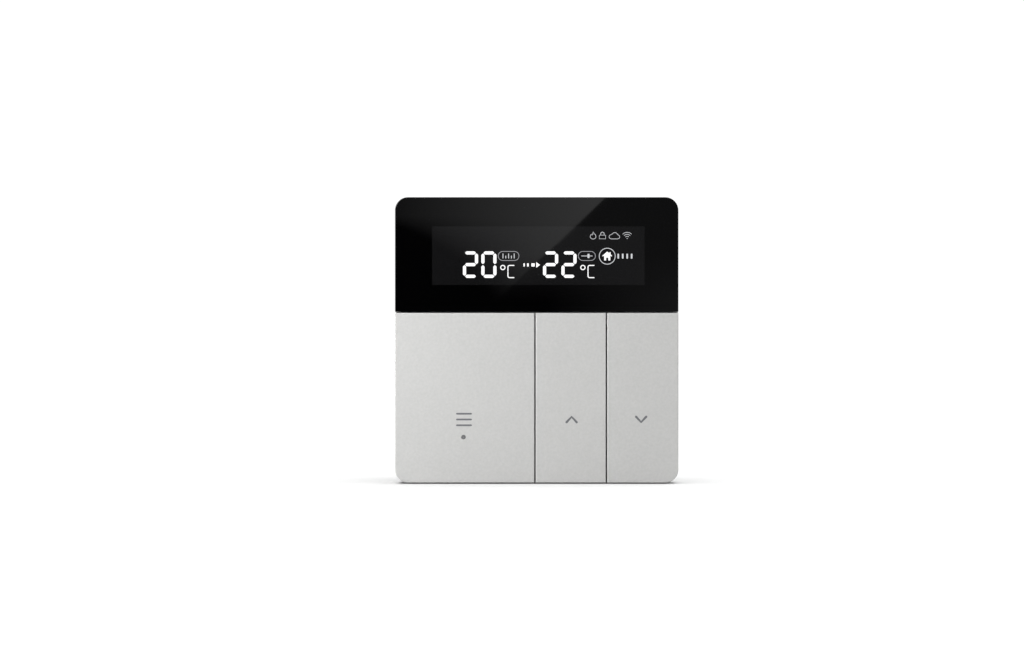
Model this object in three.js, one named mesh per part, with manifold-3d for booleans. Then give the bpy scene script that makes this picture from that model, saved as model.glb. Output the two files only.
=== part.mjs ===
// A wall thermostat in two units. The power unit (wall plate, rear box, power board and terminals) stays
// in the wall. The front unit (frame, window, display, keys and their board) clips on to the wall plate.
// Millimetres. +X is to the right seen from the room, -Y points into the room and +Z is up. The wall's
// face is the plane y = 0, and the origin is the middle of the wall plate's back.
import * as THREE from 'three';
import { mergeVertices } from 'three/addons/utils/BufferGeometryUtils.js';
import Module from 'manifold-3d';

const wasm = await Module();
wasm.setup();

// ---- Driving dimensions: the face ----
const width = 86;
const height = 87;
const unitDepth = 13.3; // from the wall to the front of the window and keys
const cornerRadius = 4;
const faceGap = 0.35; // between window and keys, between keys, and below the keys
const windowHeight = 34.75;
const windowThickness = 1.8;
const adhesiveThickness = 0.2;
const keySeams = [-0.5, 21.2]; // x of the gaps between the three keys

// ---- Driving dimensions: the frame ----
const wall = 1.6;
const deck = 1.2;
const wallStandoff = 0.3; // the frame's back edge stays off the wall
const seatGap = 0.1; // between parts that are stacked on each other
const slipGap = 0.3; // around parts that are dropped into a pocket
const bossRadius = 2.4;
const bossInset = 4.3; // boss axis to the frame's outside
const vent = { count: 5, length: 6, height: 1.2, pitch: 8 };
const prySlot = { width: 10, depth: 1.7 };

// ---- Driving dimensions: the display ----
const view = { width: 64.7, height: 18 }; // the part of the cell that shows through the frame
const cell = { sideBorder: 2.65, border: 2.5, glass: 0.9, ledge: 2.5 }; // borders are beyond the view
const guide = { thickness: 1, margin: 0.6, notch: 3, notchDepth: 1.2, notchPitch: 6 };
const holderWall = 1;
const stripThickness = 1.6;

// ---- Driving dimensions: keys and switches ----
const keyPlate = 1.5;
const keySkirt = 1.2;
const keyTravelRoom = 0.8; // behind the skirts, for the stroke
const deckRim = { thickness: 0.8, overlap: 0.8 }; // a rim inside the skirts that shuts the gap behind them
const pivotDrop = 2.9; // the keys' top edge down to the pivot rod
const rodRadius = 0.75;
const rodFit = 0.08; // radial running clearance
const knuckle = { radius: 1.35, width: 3, gap: 0.4 };
const earWidth = 1.6;
const switchRise = 23.15; // the keys' bottom edge up to the switches
const switchBody = { side: 6, height: 3.5, corner: 0.4 };
const plunger = { radius: 1.7, stand: 0.8, depth: 1, stroke: 0.3 };
const plungerFit = 0.15;
const pressGap = 0.05; // key rib to plunger, at rest
const ribRadius = 1.5;
const statusRise = 13.85; // the keys' bottom edge up to the status light
const statusShift = -0.35; // the light sits left of its key's middle
const pipe = { radius: 0.6, flange: 1.6, flangeLength: 0.9, stem: 1.2 };
const lamp = { width: 2, height: 1.25, depth: 0.8, lensInset: 0.05 };

// ---- Driving dimensions: front unit boards and cover ----
const boardThickness = 1.6;
const boardToDeck = 0.4; // the keys' deck stands this far off the board
const boardMargin = 1.4; // board edge to the frame's wall
const coverThickness = 1.6;
const coverToPlate = 0.6;
const chip = { side: 10, thickness: 1, x: 12, z: 14 };
const chipLeg = { reach: 1, pitch: 1.5, width: 0.5, thickness: 0.4, steps: [-2, -1, 0, 1, 2] };
const radio = { width: 18, height: 12, board: 0.6, can: 1.2, border: 0.8, antenna: 4.5, x: -18, z: 20 };
const sensor = { radius: 0.8, leg: 0.25, legPitch: 1.3, x: -16, edge: 1.8 };
const header = { pins: 8, pitch: 2.54, body: 2.5, pin: 0.64, z: -11.5, engagement: 3.85, portGap: 0.7 };
const socket = { wall: 0.4, gap: 0.9, hole: 0.95, bottom: 0.6 };
const coverScrew = { head: 2.2, cone: 1.1, shank: 1, length: 6, turn: 0.4 }; // turn: of the recess, radians

// ---- Driving dimensions: wall plate ----
const plateThickness = 1.2;
const plateMargin = 0.6; // plate edge to the frame's wall
const wallScrew = { spacing: 60, width: 4.5, length: 8, headRoom: 10 };
const clip = { z: 25, width: 8, reach: 3.4, room: 0.4 };
const plateScrew = { head: 2.4, cone: 0.9, shank: 1.42, length: 5.5 };
const screwFit = 0.08; // radial clearance of a screw in its pilot hole
const screwRim = 0.2; // straight edge of a countersunk head
const crossRecess = { lengthOfHead: 1.1, width: 0.5, depthOfCone: 0.7 };
const screwTip = 0.7; // tip radius as a share of the shank's

// ---- Driving dimensions: rear box and power board ----
const boxWall = 1.6;
const boxHeight = 52;
const boxDepth = 27;
const trayDepth = 8.4; // depth of the lower, stepped part
const boxCorner = 2;
const boxEar = { width: 10, reach: 6, depth: 6 };
const powerBoardY = 3;
const powerBoardThickness = 1.6;
const powerBoardCorner = 1;
const cornerPost = 2.5;
const boxVent = { count: 5, length: 16, height: 1.6, pitch: 4, lowest: 2 };
const relaySize = { width: 19, depth: 15.3, height: 15.5, x: -12.8, z: 13.5 };
const relayCap = { base: 1.5, lip: 0.3, corner: 0.8 };
const coreSize = { width: 16, depth: 13, height: 14, leg: 3, lift: 2, x: 10.5, z: 14 };
const bobbin = { width: 12, lift: 4, backInset: 2.5, foot: 3, footInset: 1 };
const bulkCan = { radius: 4, length: 12, edge: 0.3, footEdge: 0.4, topInset: 0.5, x: -18, z: 0 };
const bulkGroove = { depth: 0.3, from: 1.2, middle: 1.7, to: 2.2 };
const filmBox = { width: 13, depth: 11, height: 5, corner: 0.4, x: -5.5, z: -1.5 };
const disc = { radius: 4.5, thickness: 4, lead: 1.5, leadPitch: 5, leadRadius: 0.3, x: 8, z: -2 };
const fuseCan = { radius: 4.2, length: 7.5, edge: 0.6, x: 18, z: -1 };

// ---- Driving dimensions: terminals ----
const poles = 6;
const polePitch = 7.6;
const terminalHeight = 13;
const terminalDepth = 15;
const terminalGap = 0.6; // block to the rear box's walls
const chamber = { halfWidth: 3.1, halfHeight: 2.9, from: 2.6, to: 12.7 };
const cage = { halfWidth: 2.7, halfHeight: 2.4, rest: 2.9, sole: 1.2, mouth: 4.4, crown: 2, side: 0.8 };
const bar = { halfWidth: 1.7, thickness: 1.2, y: 6.4, from: -3.6, to: 4.4 };
const barFit = 0.15;
const collar = { thickness: 0.4, radius: 1.7 };
const headWell = 2.4;
const clampScrew = { head: 2.1, headLength: 1.5, shank: 1.5, edge: 0.3, slot: 0.7, slotDepth: 0.8 };
const wireEntry = { width: 3.6, from: 4, to: 6.3 };

const roundSteps = 20;
const smallSteps = 12;
const leadSteps = 8;
const cornerSteps = { fine: 8, plain: 4, small: 3, tiny: 2 }; // in a quarter turn
const justUnder = 0.01; // a slot's corner radius stays this much under half its width
const cutPast = 1; // how far a cutting shape runs past a face

// ---- Levels worked out from them, from the room to the wall ----
const left = -width / 2;
const right = width / 2;
const bottom = -height / 2;
const top = height / 2;
const faceY = -unitDepth;
const windowBackY = faceY + windowThickness;
const windowDeckFrontY = windowBackY + adhesiveThickness;
const windowDeckBackY = windowDeckFrontY + deck;
const cellFrontY = windowDeckBackY + seatGap;
const cellLedgeY = cellFrontY + cell.glass;
const cellBackY = cellLedgeY + cell.glass;
const guideFrontY = cellBackY + seatGap;
const guideBackY = guideFrontY + guide.thickness;
const boardFrontY = guideBackY + seatGap;
const boardBackY = boardFrontY + boardThickness;
const keyDeckBackY = boardFrontY - boardToDeck;
const keyDeckFrontY = keyDeckBackY - deck;
const keyBackY = faceY + keyPlate;
const skirtBackY = keyDeckFrontY - keyTravelRoom;
const plateFrontY = -plateThickness;
const coverBackY = plateFrontY - coverToPlate;
const coverFrontY = coverBackY - coverThickness;
const bossBackY = coverFrontY - seatGap / 2;
const frameBackY = -wallStandoff;
const powerBoardBackY = powerBoardY + powerBoardThickness;

// ---- Heights and places worked out from them ----
const windowBottomZ = top - windowHeight;
const keyTopZ = windowBottomZ - faceGap;
const keyBottomZ = bottom + faceGap;
const viewZ = (keyTopZ + top) / 2;
const cellHalfWidth = view.width / 2 + cell.sideBorder;
const cellHalfHeight = view.height / 2 + cell.border;
const pivotY = keyDeckFrontY - slipGap - knuckle.radius;
const pivotZ = keyTopZ - pivotDrop;
const switchZ = keyBottomZ + switchRise;
const statusZ = keyBottomZ + statusRise;
const plungerTipY = boardFrontY - switchBody.height - plunger.stand;
const outerEarX = right - keySkirt - plateMargin - earWidth / 2;
const earPlaces = [-outerEarX, ...keySeams, outerEarX];
const bossX = right - bossInset;
const bossZ = top - bossInset;
const bossPlaces = [[-bossX, bossZ], [bossX, bossZ], [-bossX, -bossZ], [bossX, -bossZ]];
const headerWidth = header.pins * header.pitch;
const headerBackY = boardBackY + header.body;
const socketFrontY = headerBackY + socket.gap;
const terminalWidth = poles * polePitch;
const boxRight = terminalWidth / 2 + terminalGap + boxWall;
const boxTop = boxHeight / 2;
const terminalBottomZ = -boxTop + boxWall + terminalGap / 2;
const terminalTopZ = terminalBottomZ + terminalHeight;
const terminalZ = (terminalBottomZ + terminalTopZ) / 2;
const humpBottomZ = terminalTopZ + terminalGap;
const plateScrewZ = boxTop + boxEar.reach / 2;
const plateScrewPlaces = [plateScrewZ, -plateScrewZ];
const keyBays = [
  { from: left, to: keySeams[0] - faceGap / 2 },
  { from: keySeams[0] + faceGap / 2, to: keySeams[1] - faceGap / 2 },
  { from: keySeams[1] + faceGap / 2, to: right },
];
const keyMiddle = (bay) => (bay.from + bay.to) / 2;
const statusX = keyMiddle(keyBays[0]) + statusShift;

// ---- Shapes ----

// A box between two corners.
function block([x0, x1], [y0, y1], [z0, z1]) {
  const geometry = new THREE.BoxGeometry(x1 - x0, y1 - y0, z1 - z0);
  return geometry.translate((x0 + x1) / 2, (y0 + y1) / 2, (z0 + z1) / 2);
}

// A rectangle in X and Z whose corners may be rounded.
function outline([x0, x1], [z0, z1], { upper = 0, lowerLeft = 0, lowerRight = 0 } = {}) {
  const shape = new THREE.Shape();
  shape.moveTo(x0 + lowerLeft, z0);
  if (lowerRight > 0) shape.absarc(x1 - lowerRight, z0 + lowerRight, lowerRight, -Math.PI / 2, 0, false);
  else shape.lineTo(x1, z0);
  if (upper > 0) {
    shape.absarc(x1 - upper, z1 - upper, upper, 0, Math.PI / 2, false);
    shape.absarc(x0 + upper, z1 - upper, upper, Math.PI / 2, Math.PI, false);
  } else {
    shape.lineTo(x1, z1);
    shape.lineTo(x0, z1);
  }
  if (lowerLeft > 0) shape.absarc(x0 + lowerLeft, z0 + lowerLeft, lowerLeft, Math.PI, 1.5 * Math.PI, false);
  else shape.lineTo(x0, z0);
  return shape;
}

// A rectangle centred on a point, with the same radius at its four corners.
function roundedRectangle(halfWidth, halfHeight, radius, x = 0, z = 0) {
  const spanX = [x - halfWidth, x + halfWidth];
  const spanZ = [z - halfHeight, z + halfHeight];
  return outline(spanX, spanZ, { upper: radius, lowerLeft: radius, lowerRight: radius });
}

// Extrudes a shape drawn in X and Z from one depth to another.
function slab(shape, frontY, backY, curveSegments = 6) {
  const depth = backY - frontY;
  const geometry = new THREE.ExtrudeGeometry(shape, { depth, bevelEnabled: false, curveSegments });
  return geometry.rotateX(Math.PI / 2).translate(0, backY, 0);
}

// A cylinder along Y.
function post(radius, [y0, y1], x = 0, z = 0, steps = smallSteps) {
  const geometry = new THREE.CylinderGeometry(radius, radius, y1 - y0, steps);
  return geometry.translate(x, (y0 + y1) / 2, z);
}

// A cylinder along X.
function rod(radius, [x0, x1], y, z, steps = roundSteps) {
  const geometry = new THREE.CylinderGeometry(radius, radius, x1 - x0, steps);
  return geometry.rotateZ(Math.PI / 2).translate((x0 + x1) / 2, y, z);
}

// A solid turned about the Y axis, from a profile of [radius, y] points in rising order of y.
function turned(profile, steps = smallSteps) {
  return new THREE.LatheGeometry(profile.map(([radius, y]) => new THREE.Vector2(radius, y)), steps);
}

function toSolid(geometry) {
  const bare = geometry.clone();
  bare.deleteAttribute('normal');
  bare.deleteAttribute('uv');
  const merged = mergeVertices(bare);
  const vertProperties = new Float32Array(merged.attributes.position.array);
  const triVerts = new Uint32Array(merged.index.array);
  return new wasm.Manifold(new wasm.Mesh({ numProp: 3, vertProperties, triVerts }));
}

function toGeometry(solid) {
  const mesh = solid.getMesh();
  const geometry = new THREE.BufferGeometry();
  geometry.setAttribute('position', new THREE.BufferAttribute(mesh.vertProperties, 3));
  geometry.setIndex(new THREE.BufferAttribute(mesh.triVerts, 1));
  geometry.computeVertexNormals();
  return geometry;
}

// Joins geometries, then takes others away.
function build(joined, removed = []) {
  const whole = joined.map(toSolid).reduce((sum, next) => sum.add(next));
  return toGeometry(removed.map(toSolid).reduce((rest, next) => rest.subtract(next), whole));
}

function finish(color, roughness, metalness = 0) {
  return new THREE.MeshStandardMaterial({ color, roughness, metalness });
}

function part(name, geometry, material) {
  const mesh = new THREE.Mesh(geometry, material);
  mesh.name = name;
  return mesh;
}

// ---- Front unit: frame, window and display ----

function frontFrame() {
  const face = roundedRectangle(right, top, cornerRadius);
  const windowSeat = outline([left, right], [windowBottomZ, top], { upper: cornerRadius });
  const innerRadius = Math.max(cornerRadius - wall, wall / 2);
  const inside = roundedRectangle(right - wall, top - wall, innerRadius);
  const windowRoom = outline(
    [left + wall, right - wall],
    [windowBottomZ + deck, top - wall],
    { upper: innerRadius },
  );
  const joined = [
    slab(face, keyDeckFrontY, frameBackY),
    slab(windowSeat, windowDeckFrontY, keyDeckBackY),
  ];
  const removed = [
    slab(inside, keyDeckBackY, frameBackY + cutPast),
    slab(windowRoom, windowDeckBackY, keyDeckBackY + cutPast),
    block(
      [-view.width / 2 - seatGap, view.width / 2 + seatGap],
      [windowDeckFrontY - cutPast, windowDeckBackY + cutPast],
      [viewZ - view.height / 2 - seatGap, viewZ + view.height / 2 + seatGap],
    ),
    post(pipe.stem + 2 * slipGap, [keyDeckFrontY - cutPast, keyDeckBackY + cutPast], statusX, statusZ),
  ];
  const hollow = build(joined, removed);
  const whole = build([hollow, rimInsideSkirts(), ...rodEars(), ...bosses()], frameCuts());
  return part('front_frame', whole, finish(0xc4c4c2, 0.5));
}

// A low rim on the keys' deck, along the left, bottom and right, just inside the keys' skirts.
// It is left out where the skirts along the seams cross it.
function rimInsideSkirts() {
  const outerInset = keySkirt + slipGap;
  const innerInset = outerInset + deckRim.thickness;
  const frontY = skirtBackY - deckRim.overlap;
  const ring = [outerInset, innerInset].map((inset, index) => {
    const radius = Math.max(cornerRadius - inset, deckRim.thickness);
    const topZ = windowBottomZ + index * cutPast;
    const shape = outline(
      [left + inset, right - inset],
      [keyBottomZ + inset, topZ],
      { lowerLeft: radius, lowerRight: radius },
    );
    const backY = keyDeckBackY - deck / 2 + index * cutPast;
    return slab(shape, frontY - index * cutPast, backY, cornerSteps.plain);
  });
  const seamRoom = keySkirt + faceGap / 2 + slipGap;
  const seamGaps = keySeams.map((x) => block(
    [x - seamRoom, x + seamRoom],
    [frontY - cutPast, keyDeckBackY],
    [bottom, bottom + 2 * innerInset],
  ));
  return build([ring[0]], [ring[1], ...seamGaps]);
}

// The lugs on the keys' deck that carry the pivot rod.
function rodEars() {
  return earPlaces.flatMap((x) => {
    const span = [x - earWidth / 2, x + earWidth / 2];
    const foot = [pivotZ - knuckle.radius, pivotZ + knuckle.radius];
    return [block(span, [pivotY, keyDeckBackY], foot), rod(knuckle.radius, span, pivotY, pivotZ)];
  });
}

// Screw bosses in the corners, from the deck in front of them to the back cover.
function bosses() {
  return bossPlaces.map(([x, z]) => {
    const deckY = z > 0 ? windowDeckBackY : keyDeckBackY;
    return post(bossRadius, [deckY - deck / 2, bossBackY], x, z, roundSteps);
  });
}

function frameCuts() {
  const pilotY = [coverBackY - coverScrew.length - slipGap, bossBackY + cutPast];
  const rodHole = rod(rodRadius + rodFit, [-outerEarX - earWidth, outerEarX + earWidth], pivotY, pivotZ);
  const switchHoles = keyBays.map((bay) => {
    const half = switchBody.side / 2 + 2 * slipGap;
    const x = keyMiddle(bay);
    const through = [keyDeckFrontY - cutPast, keyDeckBackY + cutPast];
    return block([x - half, x + half], through, [switchZ - half, switchZ + half]);
  });
  const vents = [top, bottom].flatMap((edge) => Array.from({ length: vent.count }, (_, index) => {
    const x = (index - (vent.count - 1) / 2) * vent.pitch;
    const middleY = (boardBackY + coverFrontY) / 2;
    return block(
      [x - vent.length / 2, x + vent.length / 2],
      [middleY - vent.height / 2, middleY + vent.height / 2],
      [edge - wall - cutPast / 2, edge + wall + cutPast / 2],
    );
  }));
  const pry = block(
    [-prySlot.width / 2, prySlot.width / 2],
    [frameBackY - prySlot.depth, frameBackY + cutPast],
    [bottom - cutPast, bottom + wall + cutPast / 2],
  );
  const pilots = bossPlaces.map(([x, z]) => post(coverScrew.shank + screwFit, pilotY, x, z));
  return [rodHole, ...switchHoles, ...vents, pry, ...pilots];
}

function displayWindow() {
  const shape = outline([left, right], [windowBottomZ, top], { upper: cornerRadius });
  return part('display_window', slab(shape, faceY, windowBackY, cornerSteps.fine), finish(0x050505, 0.05));
}

// A frame of adhesive film round the viewing opening, a little inside the window's edge.
function windowAdhesive() {
  const inset = wall;
  const outer = outline(
    [left + inset, right - inset],
    [windowBottomZ + inset, top - inset],
    { upper: Math.max(cornerRadius - inset, inset / 2) },
  );
  const opening = block(
    [-view.width / 2 - slipGap, view.width / 2 + slipGap],
    [windowBackY - cutPast, windowDeckFrontY + cutPast],
    [viewZ - view.height / 2 - slipGap, viewZ + view.height / 2 + slipGap],
  );
  const geometry = build([slab(outer, windowBackY, windowDeckFrontY)], [opening]);
  return part('window_adhesive', geometry, finish(0x1a1a1c, 0.7));
}

// Two glasses: the front one is taller and leaves a ledge of contacts along its bottom edge.
function lcdCell() {
  const spanX = [-cellHalfWidth, cellHalfWidth];
  const cellTopZ = viewZ + cellHalfHeight;
  const cellBottomZ = viewZ - cellHalfHeight;
  const geometry = build([
    block(spanX, [cellFrontY, cellLedgeY], [cellBottomZ, cellTopZ]),
    block(spanX, [cellLedgeY - seatGap, cellBackY], [cellBottomZ + cell.ledge, cellTopZ]),
  ]);
  return part('lcd_cell', geometry, finish(0x11150f, 0.1));
}

function backlightGuide() {
  const halfWidth = cellHalfWidth - guide.margin;
  const spanZ = [viewZ - cellHalfHeight + cell.ledge + guide.margin, viewZ + cellHalfHeight - guide.margin];
  const notches = [-1, 0, 1].map((step) => {
    const z = viewZ + step * guide.notchPitch;
    return block(
      [halfWidth - guide.notchDepth, halfWidth + cutPast],
      [guideFrontY - cutPast, guideBackY + cutPast],
      [z - guide.notch / 2, z + guide.notch / 2],
    );
  });
  const geometry = build([block([-halfWidth, halfWidth], [guideFrontY, guideBackY], spanZ)], notches);
  return part('backlight_guide', geometry, finish(0xf2f2ee, 0.2));
}

function lcdHolder() {
  const inner = { x: cellHalfWidth + 2 * seatGap, z: cellHalfHeight + 2 * seatGap };
  const spanY = [cellFrontY - seatGap / 2, boardFrontY - seatGap / 2];
  const geometry = build(
    [block(
      [-inner.x - holderWall, inner.x + holderWall],
      spanY,
      [viewZ - inner.z - holderWall, viewZ + inner.z + holderWall],
    )],
    [block(
      [-inner.x, inner.x],
      [spanY[0] - cutPast, spanY[1] + cutPast],
      [viewZ - inner.z, viewZ + inner.z],
    )],
  );
  return part('lcd_holder', geometry, finish(0xe8e8e4, 0.55));
}

// The elastomer strip stands between the cell's ledge and the board.
function lcdContactStrip() {
  const halfWidth = cellHalfWidth - cell.ledge;
  const middleZ = viewZ - cellHalfHeight + cell.ledge / 2;
  const geometry = slab(
    roundedRectangle(halfWidth, stripThickness / 2, stripThickness / 4, 0, middleZ),
    cellLedgeY + seatGap / 2,
    boardFrontY - seatGap / 2,
    cornerSteps.small,
  );
  return part('lcd_contact_strip', geometry, finish(0xd98a9a, 0.8));
}

// ---- Front unit: board and what it carries ----

function displayBoard() {
  const halfWidth = right - wall - boardMargin;
  const halfHeight = top - wall - boardMargin;
  const spanY = [boardFrontY - cutPast, boardBackY + cutPast];
  const notches = bossPlaces.map(([x, z]) => post(bossRadius + slipGap, spanY, x, z, roundSteps));
  const shape = roundedRectangle(halfWidth, halfHeight, boardMargin);
  const plate = slab(shape, boardFrontY, boardBackY, cornerSteps.small);
  return part('display_board', build([plate], notches), finish(0x1f5a36, 0.5));
}

function controllerChip() {
  const half = chip.side / 2;
  const bodyHalf = half - chipLeg.reach;
  const legHalf = chipLeg.width / 2;
  const y0 = boardBackY + seatGap / 2;
  const y1 = y0 + chip.thickness;
  const legs = chipLeg.steps.flatMap((step) => {
    const x = chip.x + step * chipLeg.pitch;
    const z = chip.z + step * chipLeg.pitch;
    const legY = [y0, y0 + chipLeg.thickness];
    return [
      block([chip.x - half, chip.x + half], legY, [z - legHalf, z + legHalf]),
      block([x - legHalf, x + legHalf], legY, [chip.z - half, chip.z + half]),
    ];
  });
  const body = block(
    [chip.x - bodyHalf, chip.x + bodyHalf],
    [y0 + seatGap, y1],
    [chip.z - bodyHalf, chip.z + bodyHalf],
  );
  return part('controller_chip', build([body, ...legs]), finish(0x18181a, 0.6));
}

function radioModule() {
  const y0 = boardBackY + seatGap / 2;
  const boardTopY = y0 + radio.board;
  const spanX = [radio.x - radio.width / 2, radio.x + radio.width / 2];
  const spanZ = [radio.z - radio.height / 2, radio.z + radio.height / 2];
  const canX = [spanX[0] + radio.border, spanX[1] - radio.antenna];
  const canZ = [spanZ[0] + radio.border, spanZ[1] - radio.border];
  const geometry = build([
    block(spanX, [y0, boardTopY], spanZ),
    block(canX, [boardTopY - seatGap, boardTopY + radio.can], canZ),
  ]);
  return part('radio_module', geometry, finish(0xb9bcc0, 0.35, 0.8));
}

function tactileSwitch(name, bay) {
  const half = switchBody.side / 2;
  const x = keyMiddle(bay);
  const frontY = boardFrontY - switchBody.height;
  const shape = roundedRectangle(half, half, switchBody.corner, x, switchZ);
  const body = slab(shape, frontY, boardFrontY - seatGap / 2, cornerSteps.tiny);
  const well = post(
    plunger.radius + plungerFit,
    [frontY - cutPast, frontY + plunger.depth + plunger.stroke + plungerFit],
    x,
    switchZ,
    roundSteps,
  );
  return part(name, build([body], [well]), finish(0x2b2b2d, 0.45));
}

function switchPlunger(name, bay) {
  const spanY = [plungerTipY, plungerTipY + plunger.stand + plunger.depth];
  return part(name, post(plunger.radius, spanY, keyMiddle(bay), switchZ, roundSteps), finish(0x3a2f28, 0.5));
}

function statusLed() {
  const backY = boardFrontY - seatGap / 2;
  const frontY = backY - lamp.depth;
  const geometry = build([
    block(
      [statusX - lamp.width / 2, statusX + lamp.width / 2],
      [frontY + lamp.depth / 2, backY],
      [statusZ - lamp.height / 2, statusZ + lamp.height / 2],
    ),
    post(lamp.height / 2 - lamp.lensInset, [frontY, backY - seatGap], statusX, statusZ),
  ]);
  return part('status_led', geometry, finish(0xf0f2e8, 0.25));
}

// A thermistor bead on two legs, just inside the lower vents.
function roomSensor() {
  const z = bottom + wall + boardMargin + sensor.edge;
  const middleY = (boardBackY + coverFrontY) / 2;
  const bead = new THREE.SphereGeometry(sensor.radius, smallSteps, leadSteps).translate(sensor.x, middleY, z);
  const legs = [-sensor.legPitch / 2, sensor.legPitch / 2].flatMap((shift) => {
    const legZ = z + 2 * sensor.radius;
    const spanX = [sensor.x + shift - sensor.leg, sensor.x + shift + sensor.leg];
    return [
      block(spanX, [middleY - sensor.leg, middleY + sensor.leg], [z, legZ]),
      block(spanX, [boardBackY + seatGap / 2, middleY + sensor.leg], [legZ - 2 * sensor.leg, legZ]),
    ];
  });
  return part('room_sensor', build([bead, ...legs]), finish(0x20242a, 0.4));
}

function pinPlaces() {
  return Array.from({ length: header.pins }, (_, index) => (index - (header.pins - 1) / 2) * header.pitch);
}

function boardHeader() {
  const y0 = boardBackY + seatGap / 2;
  const half = header.body / 2;
  const pinTipY = socketFrontY + header.engagement;
  const pins = pinPlaces().map((x) => block(
    [x - header.pin / 2, x + header.pin / 2],
    [y0 + seatGap, pinTipY],
    [header.z - header.pin / 2, header.z + header.pin / 2],
  ));
  const spanX = [-headerWidth / 2, headerWidth / 2];
  const body = block(spanX, [y0, headerBackY], [header.z - half, header.z + half]);
  return part('board_header', build([body, ...pins]), finish(0x1c1c1e, 0.5));
}

function boardSocket() {
  const halfX = headerWidth / 2 + socket.wall;
  const halfZ = header.body / 2 + socket.wall / 2;
  const backY = powerBoardY - seatGap / 2;
  const holes = pinPlaces().map((x) => block(
    [x - socket.hole / 2, x + socket.hole / 2],
    [socketFrontY - cutPast, backY - socket.bottom],
    [header.z - socket.hole / 2, header.z + socket.hole / 2],
  ));
  const body = block([-halfX, halfX], [socketFrontY, backY], [header.z - halfZ, header.z + halfZ]);
  return part('board_socket', build([body], holes), finish(0x202022, 0.5));
}

// ---- Front unit: back cover and its screws ----

function countersink(size, y, x, z) {
  const profile = [
    [0, -size.length],
    [size.shank + 2 * screwFit, -size.length],
    [size.shank + 2 * screwFit, -size.cone],
    [size.head + screwFit, -screwRim],
    [size.head + screwFit, cutPast],
    [0, cutPast],
  ];
  return turned(profile).translate(x, y, z);
}

// A countersunk screw whose head's face is at y = 0, with the shank towards -Y and a cross recess.
function countersunkScrew(size) {
  const recessLength = size.head * crossRecess.lengthOfHead;
  const profile = [
    [0, -size.length],
    [size.shank * screwTip, -size.length],
    [size.shank, -size.length + size.shank],
    [size.shank, -size.cone],
    [size.head, -screwRim],
    [size.head, 0],
    [0, 0],
  ];
  const along = [-recessLength / 2, recessLength / 2];
  const across = [-crossRecess.width / 2, crossRecess.width / 2];
  const depth = [-size.cone * crossRecess.depthOfCone, cutPast];
  return build([turned(profile)], [block(along, depth, across), block(across, depth, along)]);
}

function backCover() {
  const inset = wall + slipGap;
  const plate = slab(
    roundedRectangle(right - inset, top - inset, Math.max(cornerRadius - inset, slipGap)),
    coverFrontY,
    coverBackY,
    cornerSteps.plain,
  );
  const through = [coverFrontY - cutPast, coverBackY + cutPast];
  const headRooms = [-1, 1].map((side) => (
    post(wallScrew.headRoom / 2, through, side * wallScrew.spacing / 2, 0, roundSteps)
  ));
  const headerPort = block(
    [-headerWidth / 2 - 2 * socket.wall, headerWidth / 2 + 2 * socket.wall],
    through,
    [header.z - header.body / 2 - header.portGap, header.z + header.body / 2 + header.portGap],
  );
  const clipX = right - wall - plateMargin - plateThickness - clip.room;
  const clipPockets = [-1, 1].flatMap((side) => [-clip.z, clip.z].map((z) => {
    const spanX = side > 0 ? [clipX, right] : [left, -clipX];
    return block(spanX, through, [z - clip.width / 2 - clip.room, z + clip.width / 2 + clip.room]);
  }));
  const screwHoles = bossPlaces.map(([x, z]) => countersink(coverScrew, coverBackY, x, z));
  const geometry = build([plate], [...headRooms, headerPort, ...clipPockets, ...screwHoles]);
  return part('back_cover', geometry, finish(0xdededc, 0.55));
}

function coverScrews() {
  return bossPlaces.map(([x, z], index) => {
    const screw = part(`cover_screw_${index + 1}`, countersunkScrew(coverScrew), finish(0xa8abb0, 0.35, 0.9));
    screw.position.set(x, coverBackY, z);
    screw.rotation.y = (index + 1) * coverScrew.turn;
    return screw;
  });
}

// ---- Front unit: keys ----

function keyKnuckles(bayIndex) {
  const reach = earWidth / 2 + knuckle.gap;
  const starts = [earPlaces[bayIndex] + reach, earPlaces[bayIndex + 1] - reach - knuckle.width];
  return starts.flatMap((x) => {
    const span = [x, x + knuckle.width];
    const foot = [pivotZ - knuckle.radius, pivotZ + knuckle.radius];
    return [block(span, [keyBackY - keyPlate / 2, pivotY], foot), rod(knuckle.radius, span, pivotY, pivotZ)];
  });
}

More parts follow.
